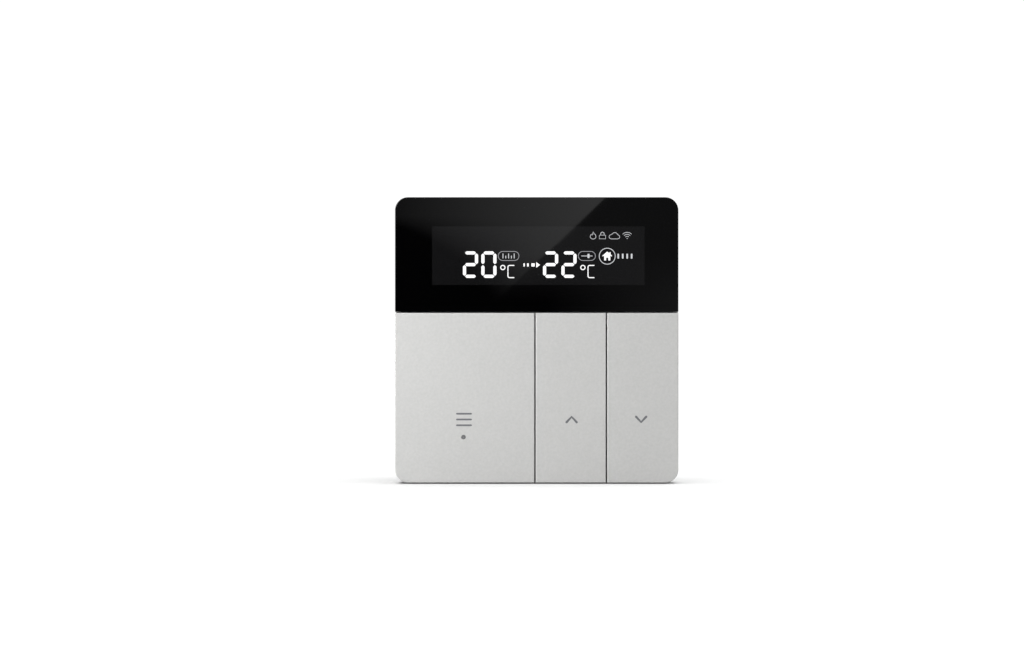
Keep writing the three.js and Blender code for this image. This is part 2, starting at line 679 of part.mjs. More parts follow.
// A key is a plate with a skirt along its sides and bottom. The skirt is left out along the seams
// near the pivot rod, where the frame's ears stand.
function key(name, bayIndex, color, extraCuts = []) {
  const bay = keyBays[bayIndex];
  const corners = {
    lowerLeft: bay.from === left ? cornerRadius : 0,
    lowerRight: bay.to === right ? cornerRadius : 0,
  };
  const inner = {
    lowerLeft: Math.max(corners.lowerLeft - keySkirt, 0),
    lowerRight: Math.max(corners.lowerRight - keySkirt, 0),
  };
  const face = outline([bay.from, bay.to], [keyBottomZ, keyTopZ], corners);
  const plate = slab(face, faceY, skirtBackY, cornerSteps.fine);
  const tray = slab(
    outline([bay.from + keySkirt, bay.to - keySkirt], [keyBottomZ + keySkirt, keyTopZ + cutPast], inner),
    keyBackY,
    skirtBackY + cutPast,
    cornerSteps.fine,
  );
  const earRoom = [];
  const earBottomZ = pivotZ - knuckle.radius - 2 * keyTravelRoom;
  const behind = [keyBackY, skirtBackY + cutPast];
  const besideEar = [earBottomZ, keyTopZ + cutPast];
  if (bay.from !== left) {
    earRoom.push(block([bay.from - cutPast, bay.from + 2 * keySkirt], behind, besideEar));
  }
  if (bay.to !== right) {
    earRoom.push(block([bay.to - 2 * keySkirt, bay.to + cutPast], behind, besideEar));
  }
  const shell = build([plate], [tray, ...earRoom]);
  const rib = post(ribRadius, [keyBackY - keyPlate / 2, plungerTipY - pressGap], keyMiddle(bay), switchZ);
  const betweenEars = [earPlaces[bayIndex], earPlaces[bayIndex + 1]];
  const rodHole = rod(rodRadius + rodFit, betweenEars, pivotY, pivotZ);
  const geometry = build([shell, ...keyKnuckles(bayIndex), rib], [rodHole, ...extraCuts]);
  return part(name, geometry, finish(color, 0.45));
}

function modeKey() {
  const through = [faceY - cutPast, keyBackY + cutPast];
  const pipeHole = post(pipe.radius + plungerFit / 2, through, statusX, statusZ);
  return key('mode_key', 0, 0xd4d4d2, [pipeHole]);
}

// The light pipe shows as a dot in the key's face and reaches back towards the lamp.
function modeLightPipe() {
  const stemEndY = keyDeckFrontY - keyTravelRoom;
  const profile = [
    [0, faceY],
    [pipe.radius, faceY],
    [pipe.radius, keyBackY + pressGap],
    [pipe.flange, keyBackY + pressGap],
    [pipe.flange, keyBackY + pipe.flangeLength],
    [pipe.stem, keyBackY + pipe.flangeLength],
    [pipe.stem, stemEndY],
    [0, stemEndY],
  ];
  return part('mode_light_pipe', turned(profile).translate(statusX, 0, statusZ), finish(0xeeeeea, 0.15));
}

function keyPivotRod() {
  const end = outerEarX + earWidth / 2;
  return part('key_pivot_rod', rod(rodRadius, [-end, end], pivotY, pivotZ), finish(0xb4b6ba, 0.25, 1));
}

// ---- Power unit: wall plate and rear box ----

function mountingPlate() {
  const inset = wall + plateMargin;
  const halfWidth = right - inset;
  const radius = Math.max(cornerRadius - inset, plateMargin);
  const sheet = slab(roundedRectangle(halfWidth, top - inset, radius), plateFrontY, 0, cornerSteps.plain);
  const clips = [-1, 1].flatMap((side) => [-clip.z, clip.z].map((z) => {
    const edge = [halfWidth - plateThickness, halfWidth];
    const spanX = side > 0 ? edge : [-edge[1], -edge[0]];
    return block(spanX, [plateFrontY - clip.reach, 0], [z - clip.width / 2, z + clip.width / 2]);
  }));
  const through = [plateFrontY - cutPast, cutPast];
  const opening = block(
    [-boxRight + boxWall, boxRight - boxWall],
    through,
    [-boxTop + boxWall, boxTop - boxWall],
  );
  const slotRadius = wallScrew.width / 2;
  const slots = [-1, 1].map((side) => slab(
    roundedRectangle(
      wallScrew.length / 2,
      slotRadius,
      slotRadius - justUnder,
      side * wallScrew.spacing / 2,
    ),
    through[0],
    through[1],
  ));
  const screwHoles = plateScrewPlaces.map((z) => (
    countersink(plateScrew, 0, 0, 0).rotateX(Math.PI).translate(0, plateFrontY, z)
  ));
  const geometry = build([sheet, ...clips], [opening, ...slots, ...screwHoles]);
  return part('mounting_plate', geometry, finish(0xb7babd, 0.4, 0.9));
}

function plateScrews() {
  return plateScrewPlaces.map((z, index) => {
    const screw = part(`plate_screw_${index + 1}`, countersunkScrew(plateScrew), finish(0xa8abb0, 0.35, 0.9));
    screw.position.set(0, plateFrontY, z);
    screw.rotation.x = Math.PI;
    return screw;
  });
}

// The box is stepped: its lower part is a shallow tray, so the terminals stand free behind it.
function rearBox() {
  const frontY = seatGap / 2;
  const innerX = [-boxRight + boxWall, boxRight - boxWall];
  const innerTopZ = boxTop - boxWall;
  const postBackY = boxDepth - boxWall / 2;
  const corners = { upper: boxCorner, lowerLeft: boxCorner, lowerRight: boxCorner };
  const earSpans = [[boxTop - cutPast, boxTop + boxEar.reach], [-boxTop - boxEar.reach, -boxTop + cutPast]];
  const tray = outline([-boxRight, boxRight], [-boxTop, boxTop], corners);
  const hump = outline([-boxRight, boxRight], [humpBottomZ, boxTop], { upper: boxCorner });
  const shell = build(
    [
      slab(tray, frontY, trayDepth, cornerSteps.plain),
      slab(hump, frontY, boxDepth, cornerSteps.plain),
      ...earSpans.map((span) => block([-boxEar.width / 2, boxEar.width / 2], [frontY, boxEar.depth], span)),
    ],
    [
      block(innerX, [frontY - cutPast, powerBoardBackY + seatGap / 2], [-innerTopZ, innerTopZ]),
      block(innerX, [powerBoardBackY - seatGap, boxDepth - boxWall], [humpBottomZ + boxWall, innerTopZ]),
      block(innerX, [powerBoardBackY - seatGap, trayDepth + cutPast], [-innerTopZ, humpBottomZ]),
    ],
  );
  const posts = [-1, 1].map((side) => {
    const edge = innerX[1];
    const reach = [edge - cornerPost, edge + boxWall / 2];
    const spanX = side > 0 ? reach : [-reach[1], -reach[0]];
    const spanZ = [innerTopZ - cornerPost, innerTopZ + boxWall / 2];
    return block(spanX, [powerBoardBackY + seatGap / 2, postBackY], spanZ);
  });
  const screwHoles = plateScrewPlaces.map((z) => (
    post(plateScrew.shank + screwFit, [frontY - cutPast, boxEar.depth + cutPast], 0, z)
  ));
  const vents = Array.from({ length: boxVent.count }, (_, index) => {
    const z = boxVent.lowest + index * boxVent.pitch;
    return block(
      [-boxVent.length / 2, boxVent.length / 2],
      [boxDepth - boxWall - cutPast, boxDepth + cutPast],
      [z - boxVent.height / 2, z + boxVent.height / 2],
    );
  });
  return part('rear_box', build([shell, ...posts], [...screwHoles, ...vents]), finish(0xd9d9d6, 0.6));
}

// ---- Power unit: power board and its components ----

function powerBoard() {
  const halfWidth = boxRight - boxWall - slipGap;
  const halfHeight = boxTop - boxWall - slipGap;
  const shape = roundedRectangle(halfWidth, halfHeight, powerBoardCorner);
  const board = slab(shape, powerBoardY, powerBoardBackY, cornerSteps.small);
  return part('power_board', board, finish(0x8a6a2c, 0.55));
}

// The spans of a component that stands on the power board's back.
function standing(size) {
  const y0 = powerBoardBackY + seatGap / 2;
  return {
    x: [size.x - size.width / 2, size.x + size.width / 2],
    y: [y0, y0 + size.depth],
    z: [size.z - size.height / 2, size.z + size.height / 2],
  };
}

function relay() {
  const span = standing(relaySize);
  const base = block(span.x, [span.y[0], span.y[0] + relayCap.base], span.z);
  const cap = roundedRectangle(
    relaySize.width / 2 - relayCap.lip,
    relaySize.height / 2 - relayCap.lip,
    relayCap.corner,
    relaySize.x,
    relaySize.z,
  );
  const body = slab(cap, span.y[0] + relayCap.base / 2, span.y[1], cornerSteps.small);
  return part('relay', build([base, body]), finish(0x1f3f7a, 0.35));
}

// An E core round a wound bobbin.
function transformer() {
  const span = standing(coreSize);
  const coreZ = [coreSize.z - coreSize.leg, coreSize.z + coreSize.leg];
  const core = block(span.x, [span.y[0] + coreSize.lift, span.y[1]], coreZ);
  const bobbinX = [coreSize.x - bobbin.width / 2, coreSize.x + bobbin.width / 2];
  const winding = block(bobbinX, [span.y[0] + bobbin.lift, span.y[1] - bobbin.backInset], span.z);
  const footZ = [span.z[0] + bobbin.footInset, span.z[1] - bobbin.footInset];
  const foot = block(bobbinX, [span.y[0], span.y[0] + bobbin.foot], footZ);
  return part('transformer', build([core, winding, foot]), finish(0xc9a43a, 0.5));
}

function bulkCapacitor() {
  const y0 = powerBoardBackY + seatGap / 2;
  const profile = [
    [0, y0],
    [bulkCan.radius - bulkCan.edge, y0],
    [bulkCan.radius, y0 + bulkCan.footEdge],
    [bulkCan.radius, y0 + bulkGroove.from],
    [bulkCan.radius - bulkGroove.depth, y0 + bulkGroove.middle],
    [bulkCan.radius, y0 + bulkGroove.to],
    [bulkCan.radius, y0 + bulkCan.length - bulkCan.edge],
    [bulkCan.radius - bulkCan.topInset, y0 + bulkCan.length],
    [0, y0 + bulkCan.length],
  ];
  const geometry = turned(profile, roundSteps).translate(bulkCan.x, 0, bulkCan.z);
  return part('bulk_capacitor', geometry, finish(0x1b1b22, 0.35));
}

function suppressionCapacitor() {
  const span = standing(filmBox);
  const half = { x: filmBox.width / 2, z: filmBox.height / 2 };
  const shape = roundedRectangle(half.x, half.z, filmBox.corner, filmBox.x, filmBox.z);
  const body = slab(shape, span.y[0], span.y[1], cornerSteps.tiny);
  return part('suppression_capacitor', body, finish(0xe0b81e, 0.4));
}

// A disc that stands on two leads.
function varistor() {
  const y0 = powerBoardBackY + seatGap / 2;
  const middleY = y0 + disc.lead + disc.radius;
  const body = new THREE.CylinderGeometry(disc.radius, disc.radius, disc.thickness, roundSteps)
    .rotateX(Math.PI / 2)
    .translate(disc.x, middleY, disc.z);
  const leads = [-1, 1].map((side) => (
    post(disc.leadRadius, [y0, middleY], disc.x + side * disc.leadPitch / 2, disc.z, leadSteps)
  ));
  return part('varistor', build([body, ...leads]), finish(0x2a5fb0, 0.45));
}

function fuse() {
  const y0 = powerBoardBackY + seatGap / 2;
  const profile = [
    [0, y0],
    [fuseCan.radius, y0],
    [fuseCan.radius, y0 + fuseCan.length - fuseCan.edge],
    [fuseCan.radius - fuseCan.edge, y0 + fuseCan.length],
    [0, y0 + fuseCan.length],
  ];
  return part('fuse', turned(profile, roundSteps).translate(fuseCan.x, 0, fuseCan.z), finish(0x3b2e2a, 0.5));
}

// ---- Power unit: terminals, each pole measured from the power board's back and its own middle ----

function polePlaces() {
  return Array.from({ length: poles }, (_, index) => (index - (poles - 1) / 2) * polePitch);
}

function screwHeadY() {
  return chamber.to + collar.thickness + pressGap;
}

function poleCuts() {
  const slotX = [-bar.halfWidth - barFit, bar.halfWidth + barFit];
  const barBackY = bar.y + bar.thickness + barFit;
  return [
    block(
      [-chamber.halfWidth, chamber.halfWidth],
      [chamber.from, chamber.to],
      [-chamber.halfHeight, chamber.halfHeight],
    ),
    post(collar.radius, [chamber.to - cutPast, chamber.to + cutPast]),
    post(headWell, [chamber.to + collar.thickness, terminalDepth + cutPast], 0, 0, roundSteps),
    block(
      [-wireEntry.width / 2, wireEntry.width / 2],
      [wireEntry.from, wireEntry.to],
      [-terminalHeight / 2 - cutPast, -chamber.halfHeight + seatGap],
    ),
    block(slotX, [bar.y - barFit, barBackY], [bar.from - barFit, bar.to + barFit]),
    block(slotX, [-cutPast, barBackY], [bar.to - bar.thickness - barFit, bar.to + barFit]),
  ];
}

function terminalBlock() {
  const body = block(
    [-terminalWidth / 2, terminalWidth / 2],
    [seatGap / 2, terminalDepth],
    [-terminalHeight / 2, terminalHeight / 2],
  );
  const cuts = polePlaces().flatMap((x) => poleCuts().map((cut) => cut.translate(x, 0, 0)));
  const mesh = part('terminal_block', build([body], cuts), finish(0x2f7d4f, 0.5));
  mesh.position.set(0, powerBoardBackY, terminalZ);
  return mesh;
}

function terminalScrew(number) {
  const headY = screwHeadY();
  const tipY = bar.y + bar.thickness + seatGap;
  const backY = headY + clampScrew.headLength;
  const profile = [
    [0, tipY],
    [clampScrew.shank - clampScrew.edge, tipY],
    [clampScrew.shank, tipY + clampScrew.edge],
    [clampScrew.shank, headY],
    [clampScrew.head, headY],
    [clampScrew.head, backY - clampScrew.edge],
    [clampScrew.head - clampScrew.edge, backY],
    [0, backY],
  ];
  const slot = block(
    [-clampScrew.head - cutPast, clampScrew.head + cutPast],
    [backY - clampScrew.slotDepth, backY + cutPast],
    [-clampScrew.slot / 2, clampScrew.slot / 2],
  );
  return part(`terminal_screw_${number}`, build([turned(profile)], [slot]), finish(0xc2c4c8, 0.3, 0.95));
}

// A rising cage: the wire goes between its sole and the contact bar, and the screw runs in its crown.
function wireClamp(number) {
  const mouthY = cage.rest + cage.sole;
  const crownY = mouthY + cage.mouth;
  const spanZ = [-cage.halfHeight, cage.halfHeight];
  const geometry = build(
    [block([-cage.halfWidth, cage.halfWidth], [cage.rest, crownY + cage.crown], spanZ)],
    [
      block(
        [-cage.halfWidth + cage.side, cage.halfWidth - cage.side],
        [mouthY, crownY],
        [spanZ[0] - cutPast, spanZ[1] + cutPast],
      ),
      post(clampScrew.shank + rodFit, [crownY - cutPast, crownY + cage.crown + cutPast]),
    ],
  );
  return part(`wire_clamp_${number}`, geometry, finish(0xc8b06a, 0.35, 0.9));
}

// An angle of brass: one leg lies through the cage and the other goes down to the board.
function contactBar(number) {
  const spanX = [-bar.halfWidth, bar.halfWidth];
  const barBackY = bar.y + bar.thickness;
  const geometry = build([
    block(spanX, [bar.y, barBackY], [bar.from, bar.to]),
    block(spanX, [seatGap / 2, barBackY], [bar.to - bar.thickness, bar.to]),
  ]);
  return part(`contact_bar_${number}`, geometry, finish(0xcaa64e, 0.3, 0.95));
}

function terminalPoles() {
  return polePlaces().map((x, index) => {
    const pole = new THREE.Group();
    pole.position.set(x, powerBoardBackY, terminalZ);
    pole.add(terminalScrew(index + 1), wireClamp(index + 1), contactBar(index + 1));
    return pole;
  });
}

// ---- Assembly ----

const keys = new THREE.Group();
keys.add(modeKey(), modeLightPipe(), key('up_key', 1, 0xc6c6c4), key('down_key', 2, 0xbcbcba), keyPivotRod());

const display = new THREE.Group();
display.add(displayWindow(), windowAdhesive(), lcdCell(), backlightGuide(), lcdHolder(), lcdContactStrip());

const frontBoard = new THREE.Group();
const switchNames = ['mode', 'up', 'down'];
keyBays.forEach((bay, index) => {
  frontBoard.add(tactileSwitch(`${switchNames[index]}_switch`, bay));
  frontBoard.add(switchPlunger(`${switchNames[index]}_plunger`, bay));
});
frontBoard.add(displayBoard(), controllerChip(), radioModule(), statusLed(), roomSensor(), boardHeader());

const frontUnit = new THREE.Group();
frontUnit.add(frontFrame(), display, keys, frontBoard, backCover(), ...coverScrews());

const powerUnit = new THREE.Group();
powerUnit.add(mountingPlate(), ...plateScrews(), rearBox(), powerBoard(), boardSocket());
powerUnit.add(relay(), transformer(), bulkCapacitor(), suppressionCapacitor(), varistor(), fuse());
powerUnit.add(terminalBlock(), ...terminalPoles());

const thermostat = new THREE.Group();
thermostat.add(powerUnit, frontUnit);

export default thermostat;
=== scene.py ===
import math
import bpy
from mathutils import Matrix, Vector


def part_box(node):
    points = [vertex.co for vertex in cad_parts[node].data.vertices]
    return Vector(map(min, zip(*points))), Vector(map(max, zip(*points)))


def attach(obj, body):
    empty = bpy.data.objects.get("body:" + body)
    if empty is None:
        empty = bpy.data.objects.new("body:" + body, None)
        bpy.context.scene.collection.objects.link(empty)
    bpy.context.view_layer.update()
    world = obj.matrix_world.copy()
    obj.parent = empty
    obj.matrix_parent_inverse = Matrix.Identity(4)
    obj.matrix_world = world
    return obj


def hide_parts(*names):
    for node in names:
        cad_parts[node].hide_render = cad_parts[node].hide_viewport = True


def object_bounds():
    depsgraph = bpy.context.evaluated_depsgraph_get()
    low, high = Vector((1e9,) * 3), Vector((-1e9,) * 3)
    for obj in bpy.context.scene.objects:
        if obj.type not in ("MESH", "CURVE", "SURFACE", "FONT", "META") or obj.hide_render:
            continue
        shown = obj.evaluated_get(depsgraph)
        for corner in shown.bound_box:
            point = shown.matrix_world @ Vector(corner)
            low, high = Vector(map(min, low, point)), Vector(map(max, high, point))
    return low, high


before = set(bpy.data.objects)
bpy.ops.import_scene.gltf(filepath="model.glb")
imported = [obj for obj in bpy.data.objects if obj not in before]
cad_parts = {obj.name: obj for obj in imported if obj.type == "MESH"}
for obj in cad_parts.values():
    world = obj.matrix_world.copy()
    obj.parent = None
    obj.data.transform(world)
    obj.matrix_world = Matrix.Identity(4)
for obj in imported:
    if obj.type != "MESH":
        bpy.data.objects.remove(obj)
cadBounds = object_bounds()

mm = 0.001
hair = 0.02 * mm         # places closer than this count as the same
touching = 0.001 * mm    # points closer than this are joined into one
flatAngle = math.radians(1)      # faces that meet at less than this are one flat face
smoothAngle = math.radians(32)   # edges sharper than this stay crisp
softEdge = {"steps": 2, "angle": math.radians(30)}    # how soften() rounds an edge, and from what angle on
paneLow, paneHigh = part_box("display_window")
cellLow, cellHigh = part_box("lcd_cell")
faceY = paneLow.y        # the front of the window and of the keys
viewCentre = Vector((0, faceY, (cellLow.z + cellHigh.z) / 2))


class Value:
    # a socket that can be added, multiplied and so on; each step adds its Math node
    def __init__(self, tree, socket):
        self.tree = tree
        self.socket = socket

    def maths(self, operation, other=0.0, flipped=False):
        first, second = (other, self) if flipped else (self, other)
        return self.tree.add("ShaderNodeMath", {"operation": operation}, {0: first, 1: second})

    def __add__(self, other):
        return self.maths("ADD", other)

    def __radd__(self, other):
        return self.maths("ADD", other, True)

    def __sub__(self, other):
        return self.maths("SUBTRACT", other)

    def __rsub__(self, other):
        return self.maths("SUBTRACT", other, True)

    def __mul__(self, other):
        return self.maths("MULTIPLY", other)

    def __rmul__(self, other):
        return self.maths("MULTIPLY", other, True)

    def __truediv__(self, other):
        return self.maths("DIVIDE", other)

    def __rtruediv__(self, other):
        return self.maths("DIVIDE", other, True)

    def below(self, limit):
        return self.maths("LESS_THAN", limit)

    def above(self, limit):
        return self.maths("GREATER_THAN", limit)

    def size(self):
        return self.maths("ABSOLUTE")

    def root(self):
        return self.maths("SQRT")

    def wrapped(self, span):
        return self.maths("FLOORED_MODULO", span)

    def least(self, limit):
        return self.maths("MINIMUM", limit)

    def most(self, limit):
        return self.maths("MAXIMUM", limit)

    def held(self, low=0.0, high=1.0):
        return self.most(low).least(high)


class Tree:
    # a node tree that is filled one node at a time
    def __init__(self, holder):
        holder.use_nodes = True
        self.nodes = holder.node_tree.nodes
        self.links = holder.node_tree.links

    def add(self, kind, settings=None, inputs=None, output=0):
        made = self.nodes.new(kind)
        for name, setting in (settings or {}).items():
            setattr(made, name, setting)
        for name, value in (inputs or {}).items():
            self.feed(made.inputs[name], value)
        return Value(self, made.outputs[output])

    def feed(self, socket, value):
        if isinstance(value, Value):
            self.links.new(value.socket, socket)
        elif hasattr(value, "__len__") and len(value) == 3 and socket.type == "RGBA":
            socket.default_value = (*value, 1.0)
        else:
            socket.default_value = value


socketOf = {"colour": "Base Color", "rough": "Roughness", "metal": "Metallic", "glow": "Emission Color"}
mixSocket = {"share": 0, "first": 6, "second": 7, "result": 2}    # numbers, because the names repeat


def shadeOf(colour, amount):
    return tuple(min(1.0, part * amount) for part in colour)


class Finish(Tree):
    # a material: what it reads of the surface's place, and its one shader
    def __init__(self, name, plain):
        self.material = bpy.data.materials.new(name)
        super().__init__(self.material)
        self.shader = self.nodes["Principled BSDF"]
        for socket, value in plain.items():
            self.feed(self.shader.inputs[socket], value)
        self.place = self.add("ShaderNodeTexCoord", output="Object")

    def shade(self, **sockets):
        for name, value in sockets.items():
            self.feed(self.shader.inputs[socketOf[name]], value)
        return self

    def stretched(self, scale):
        return self.add("ShaderNodeMapping", {"vector_type": "TEXTURE"}, {
            "Vector": self.place, "Scale": scale})

    def noise(self, grain, detail=2.0, place=None):
        # grain is the size of one speckle in metres
        return self.add("ShaderNodeTexNoise", {}, {
            "Vector": place or self.place, "Scale": 1 / grain, "Detail": detail})

    def axis(self, name):
        return self.add("ShaderNodeSeparateXYZ", {}, {"Vector": self.place}, name)

    def between(self, share, first, second):
        # a colour from first to second as share goes from 0 to 1
        return self.add("ShaderNodeMix", {"data_type": "RGBA", "clamp_factor": True}, {
            mixSocket["share"]: share, mixSocket["first"]: first, mixSocket["second"]: second},
            mixSocket["result"])

    def varied(self, share, colour, darkest, brightest):
        return self.between(share, shadeOf(colour, darkest), shadeOf(colour, brightest))

    def bump(self, height, depth, strength=1.0):
        bumped = self.add("ShaderNodeBump", {}, {
            "Height": height, "Distance": depth, "Strength": strength})
        self.feed(self.shader.inputs["Normal"], bumped)
        return self


def layered(base, *layers):
    # several noises in one, each swinging round the base value with its own strength
    noiseMiddle = 0.5
    total = base
    for noise, strength in layers:
        total = (noise - noiseMiddle) * strength + total
    return total


def selectNothing():
    if bpy.context.mode != "OBJECT":
        bpy.ops.object.mode_set(mode="OBJECT")
    bpy.ops.object.select_all(action="DESELECT")


def takeUp(piece):
    selectNothing()
    piece.select_set(True)
    bpy.context.view_layer.objects.active = piece


def settle(piece):
    # the place goes into the mesh, so the object itself stays at the origin
    takeUp(piece)
    bpy.ops.object.transform_apply(location=True, rotation=True, scale=True)
    return piece


def block(name, low, high):
    selectNothing()
    low, high = Vector(low), Vector(high)
    bpy.ops.mesh.primitive_cube_add(size=1, location=(low + high) / 2)
    piece = bpy.context.object
    piece.name = name
    piece.scale = high - low
    return settle(piece)


def pickFaces(piece, test):
    takeUp(piece)
    bpy.ops.object.mode_set(mode="EDIT")
    bpy.ops.mesh.select_mode(type="FACE")
    bpy.ops.mesh.select_all(action="DESELECT")
    bpy.ops.object.mode_set(mode="OBJECT")
    for face in piece.data.polygons:
        face.select = test(face.center, face.normal)
    bpy.ops.object.mode_set(mode="EDIT")


def pickEdges(piece, test):
    takeUp(piece)
    bpy.ops.object.mode_set(mode="EDIT")
    bpy.ops.mesh.select_mode(type="EDGE")
    bpy.ops.mesh.select_all(action="DESELECT")
    bpy.ops.object.mode_set(mode="OBJECT")
    points = piece.data.vertices
    for edge in piece.data.edges:
        edge.select = test(points[edge.vertices[0]].co, points[edge.vertices[1]].co)
    bpy.ops.object.mode_set(mode="EDIT")


def roundPicked(radius, steps):
    bpy.ops.mesh.bevel(offset=radius, offset_type="OFFSET", segments=steps, affect="EDGES")
    bpy.ops.object.mode_set(mode="OBJECT")


def modify(piece, kind, settings):
    takeUp(piece)
    modifier = piece.modifiers.new(kind.title(), kind)
    for name, value in settings.items():
        setattr(modifier, name, value)
    bpy.ops.object.modifier_apply(modifier=modifier.name)


def soften(piece, width):
    modify(piece, "BEVEL", {
        "width": width, "segments": softEdge["steps"], "limit_method": "ANGLE",
        "angle_limit": softEdge["angle"], "use_clamp_overlap": True})


def carve(piece, cutter):
    modify(piece, "BOOLEAN", {"operation": "DIFFERENCE", "object": cutter, "solver": "EXACT"})
    bpy.data.objects.remove(cutter)


def copyAt(piece, name, move):
    twin = bpy.data.objects.new(name, piece.data.copy())
    bpy.context.scene.collection.objects.link(twin)
    twin.location = move
    return settle(twin)


def merge(pieces, name):
    selectNothing()
    for piece in pieces:
        piece.select_set(True)
    bpy.context.view_layer.objects.active = pieces[0]
    bpy.ops.object.join()
    pieces[0].name = name
    return pieces[0]


def heal(piece):
    # joins points that fell together and drops faces left without an area
    takeUp(piece)
    bpy.ops.object.mode_set(mode="EDIT")
    bpy.ops.mesh.select_all(action="SELECT")
    bpy.ops.mesh.remove_doubles(threshold=touching)
    bpy.ops.mesh.dissolve_degenerate(threshold=touching)
    bpy.ops.mesh.delete_loose()
    bpy.ops.mesh.select_all(action="SELECT")
    bpy.ops.mesh.normals_make_consistent(inside=False)
    bpy.ops.object.mode_set(mode="OBJECT")


def softCopy(node, name):
    # a merged copy of a frame part, with its flat faces whole, ready to be given round edges
    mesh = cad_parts[node].data.copy()
    mesh.materials.clear()
    piece = bpy.data.objects.new(name, mesh)
    bpy.context.scene.collection.objects.link(piece)
    takeUp(piece)
    bpy.ops.mesh.customdata_custom_splitnormals_clear()
    bpy.ops.object.mode_set(mode="EDIT")
    bpy.ops.mesh.select_all(action="SELECT")
    bpy.ops.mesh.remove_doubles(threshold=touching)
    bpy.ops.mesh.dissolve_limited(angle_limit=flatAngle)
    bpy.ops.object.mode_set(mode="OBJECT")
    return piece


def hand(piece, body, finish, stands=()):
    # smooths a finished piece, gives it its material and says what it rides on and stands for
    takeUp(piece)
    bpy.ops.object.shade_smooth_by_angle(angle=smoothAngle)
    modify(piece, "WEIGHTED_NORMAL", {"keep_sharp": True})   # a broad face stays flat beside its round edge
    piece.data.materials.clear()
    piece.data.materials.append(finish)
    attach(piece, body)
    if stands:
        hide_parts(*stands)


camera = {
    "lens": 100, "sensor": 36, "viewWidth": 310.6 * mm, "shiftX": -0.0241, "shiftY": 0.0137, "near": 0.01,
    "far": 50}
softbox = {"place": (-0.24, -0.2, 0.12), "width": 0.24, "height": 0.24, "power": 1.65}
sideLight = {"place": (0.9, -0.1, 0.35), "width": 0.6, "height": 0.8, "power": 1.6}
skylight = {"height": 1, "power": 3.2, "spread": math.radians(70)}    # shines straight down
world = {"seen": 1.05, "light": 0.22}
floor = {"size": 8, "albedo": 0.8, "cloud": 0.4, "cloudiness": 0.02, "rough": 0.8, "glow": 0.05}
card = {"distance": 1.25, "size": 0.8}
# the card's light by its mirror's place on the window: a slanted edge parts a bright left from a dim right
cardLight = {
    "slope": 1.0376, "edge": -24.76 * mm,
    "left": {"base": 0.57, "run": 95 * mm, "fadeFrom": 6 * mm, "fadeOver": 20 * mm},
    "top": {"from": 24 * mm, "over": 14 * mm, "farLeft": -45 * mm, "run": 100 * mm, "base": 0.1},
    "right": {"from": 12 * mm, "over": 14 * mm, "level": 0.11, "run": 222 * mm, "base": 0.015}}


def setCamera():
    distance = camera["viewWidth"] * camera["lens"] / camera["sensor"]
    selectNothing()
    bpy.ops.object.camera_add(location=(0, faceY - distance, 0), rotation=(math.pi / 2, 0, 0))
    made = bpy.context.object
    made.data.lens = camera["lens"]
    made.data.sensor_width = camera["sensor"]
    made.data.shift_x = camera["shiftX"]
    made.data.shift_y = camera["shiftY"]
    made.data.clip_start = camera["near"]
    made.data.clip_end = camera["far"]
    bpy.context.scene.camera = made
    return distance


def setLight(name, light):
    # a rectangle of light that faces the object
    selectNothing()
    place = Vector(light["place"])
    turn = (-place).to_track_quat("-Z", "Y").to_euler()
    bpy.ops.object.light_add(type="AREA", location=place, rotation=turn)
    made = bpy.context.object
    made.name = name
    made.data.shape = "RECTANGLE"
    made.data.size = light["width"]
    made.data.size_y = light["height"]
    made.data.energy = light["power"]
    return made


def setSkylight():
    # a wide light from above, whose soft shadow settles the object on the floor
    selectNothing()
    bpy.ops.object.light_add(type="SUN", location=(0, 0, skylight["height"]))
    made = bpy.context.object
    made.name = "skylight"
    made.data.energy = skylight["power"]
    made.data.angle = skylight["spread"]


def setWorld():
    # the backdrop is seen white, but lights the object less
    made = bpy.data.worlds.new("studio")
    bpy.context.scene.world = made
    tree = Tree(made)
    seen = tree.add("ShaderNodeBackground", {}, {"Color": (1, 1, 1), "Strength": world["seen"]})
    lit = tree.add("ShaderNodeBackground", {}, {"Color": (1, 1, 1), "Strength": world["light"]})
    direct = tree.add("ShaderNodeLightPath", output="Is Camera Ray")
    both = tree.add("ShaderNodeMixShader", {}, {0: direct, 1: lit, 2: seen})
    tree.feed(tree.nodes["World Output"].inputs["Surface"], both)


def setFloor():
    selectNothing()
    bpy.ops.mesh.primitive_plane_add(size=floor["size"], location=(0, 0, cadBounds[0].z))
    made = settle(bpy.context.object)
    made.name = "floor"
    finish = Finish("paleFloor", {
        "Roughness": floor["rough"], "Specular IOR Level": 0.0, "Emission Strength": floor["glow"],
        "Emission Color": (1, 1, 1)})
    pale = (floor["albedo"],) * 3
    finish.shade(colour=finish.varied(finish.noise(floor["cloud"]), pale, 1, 1 + floor["cloudiness"]))
    made.data.materials.append(finish.material)
    return made


def spareFloor(light, ground):
    # the near softbox lights the object only, so the floor round it stays even
    spared = bpy.data.collections.new("sparedFloor")
    spared.objects.link(ground)
    light.light_linking.receiver_collection = spared
    spared.collection_objects[0].light_linking.link_state = "EXCLUDE"


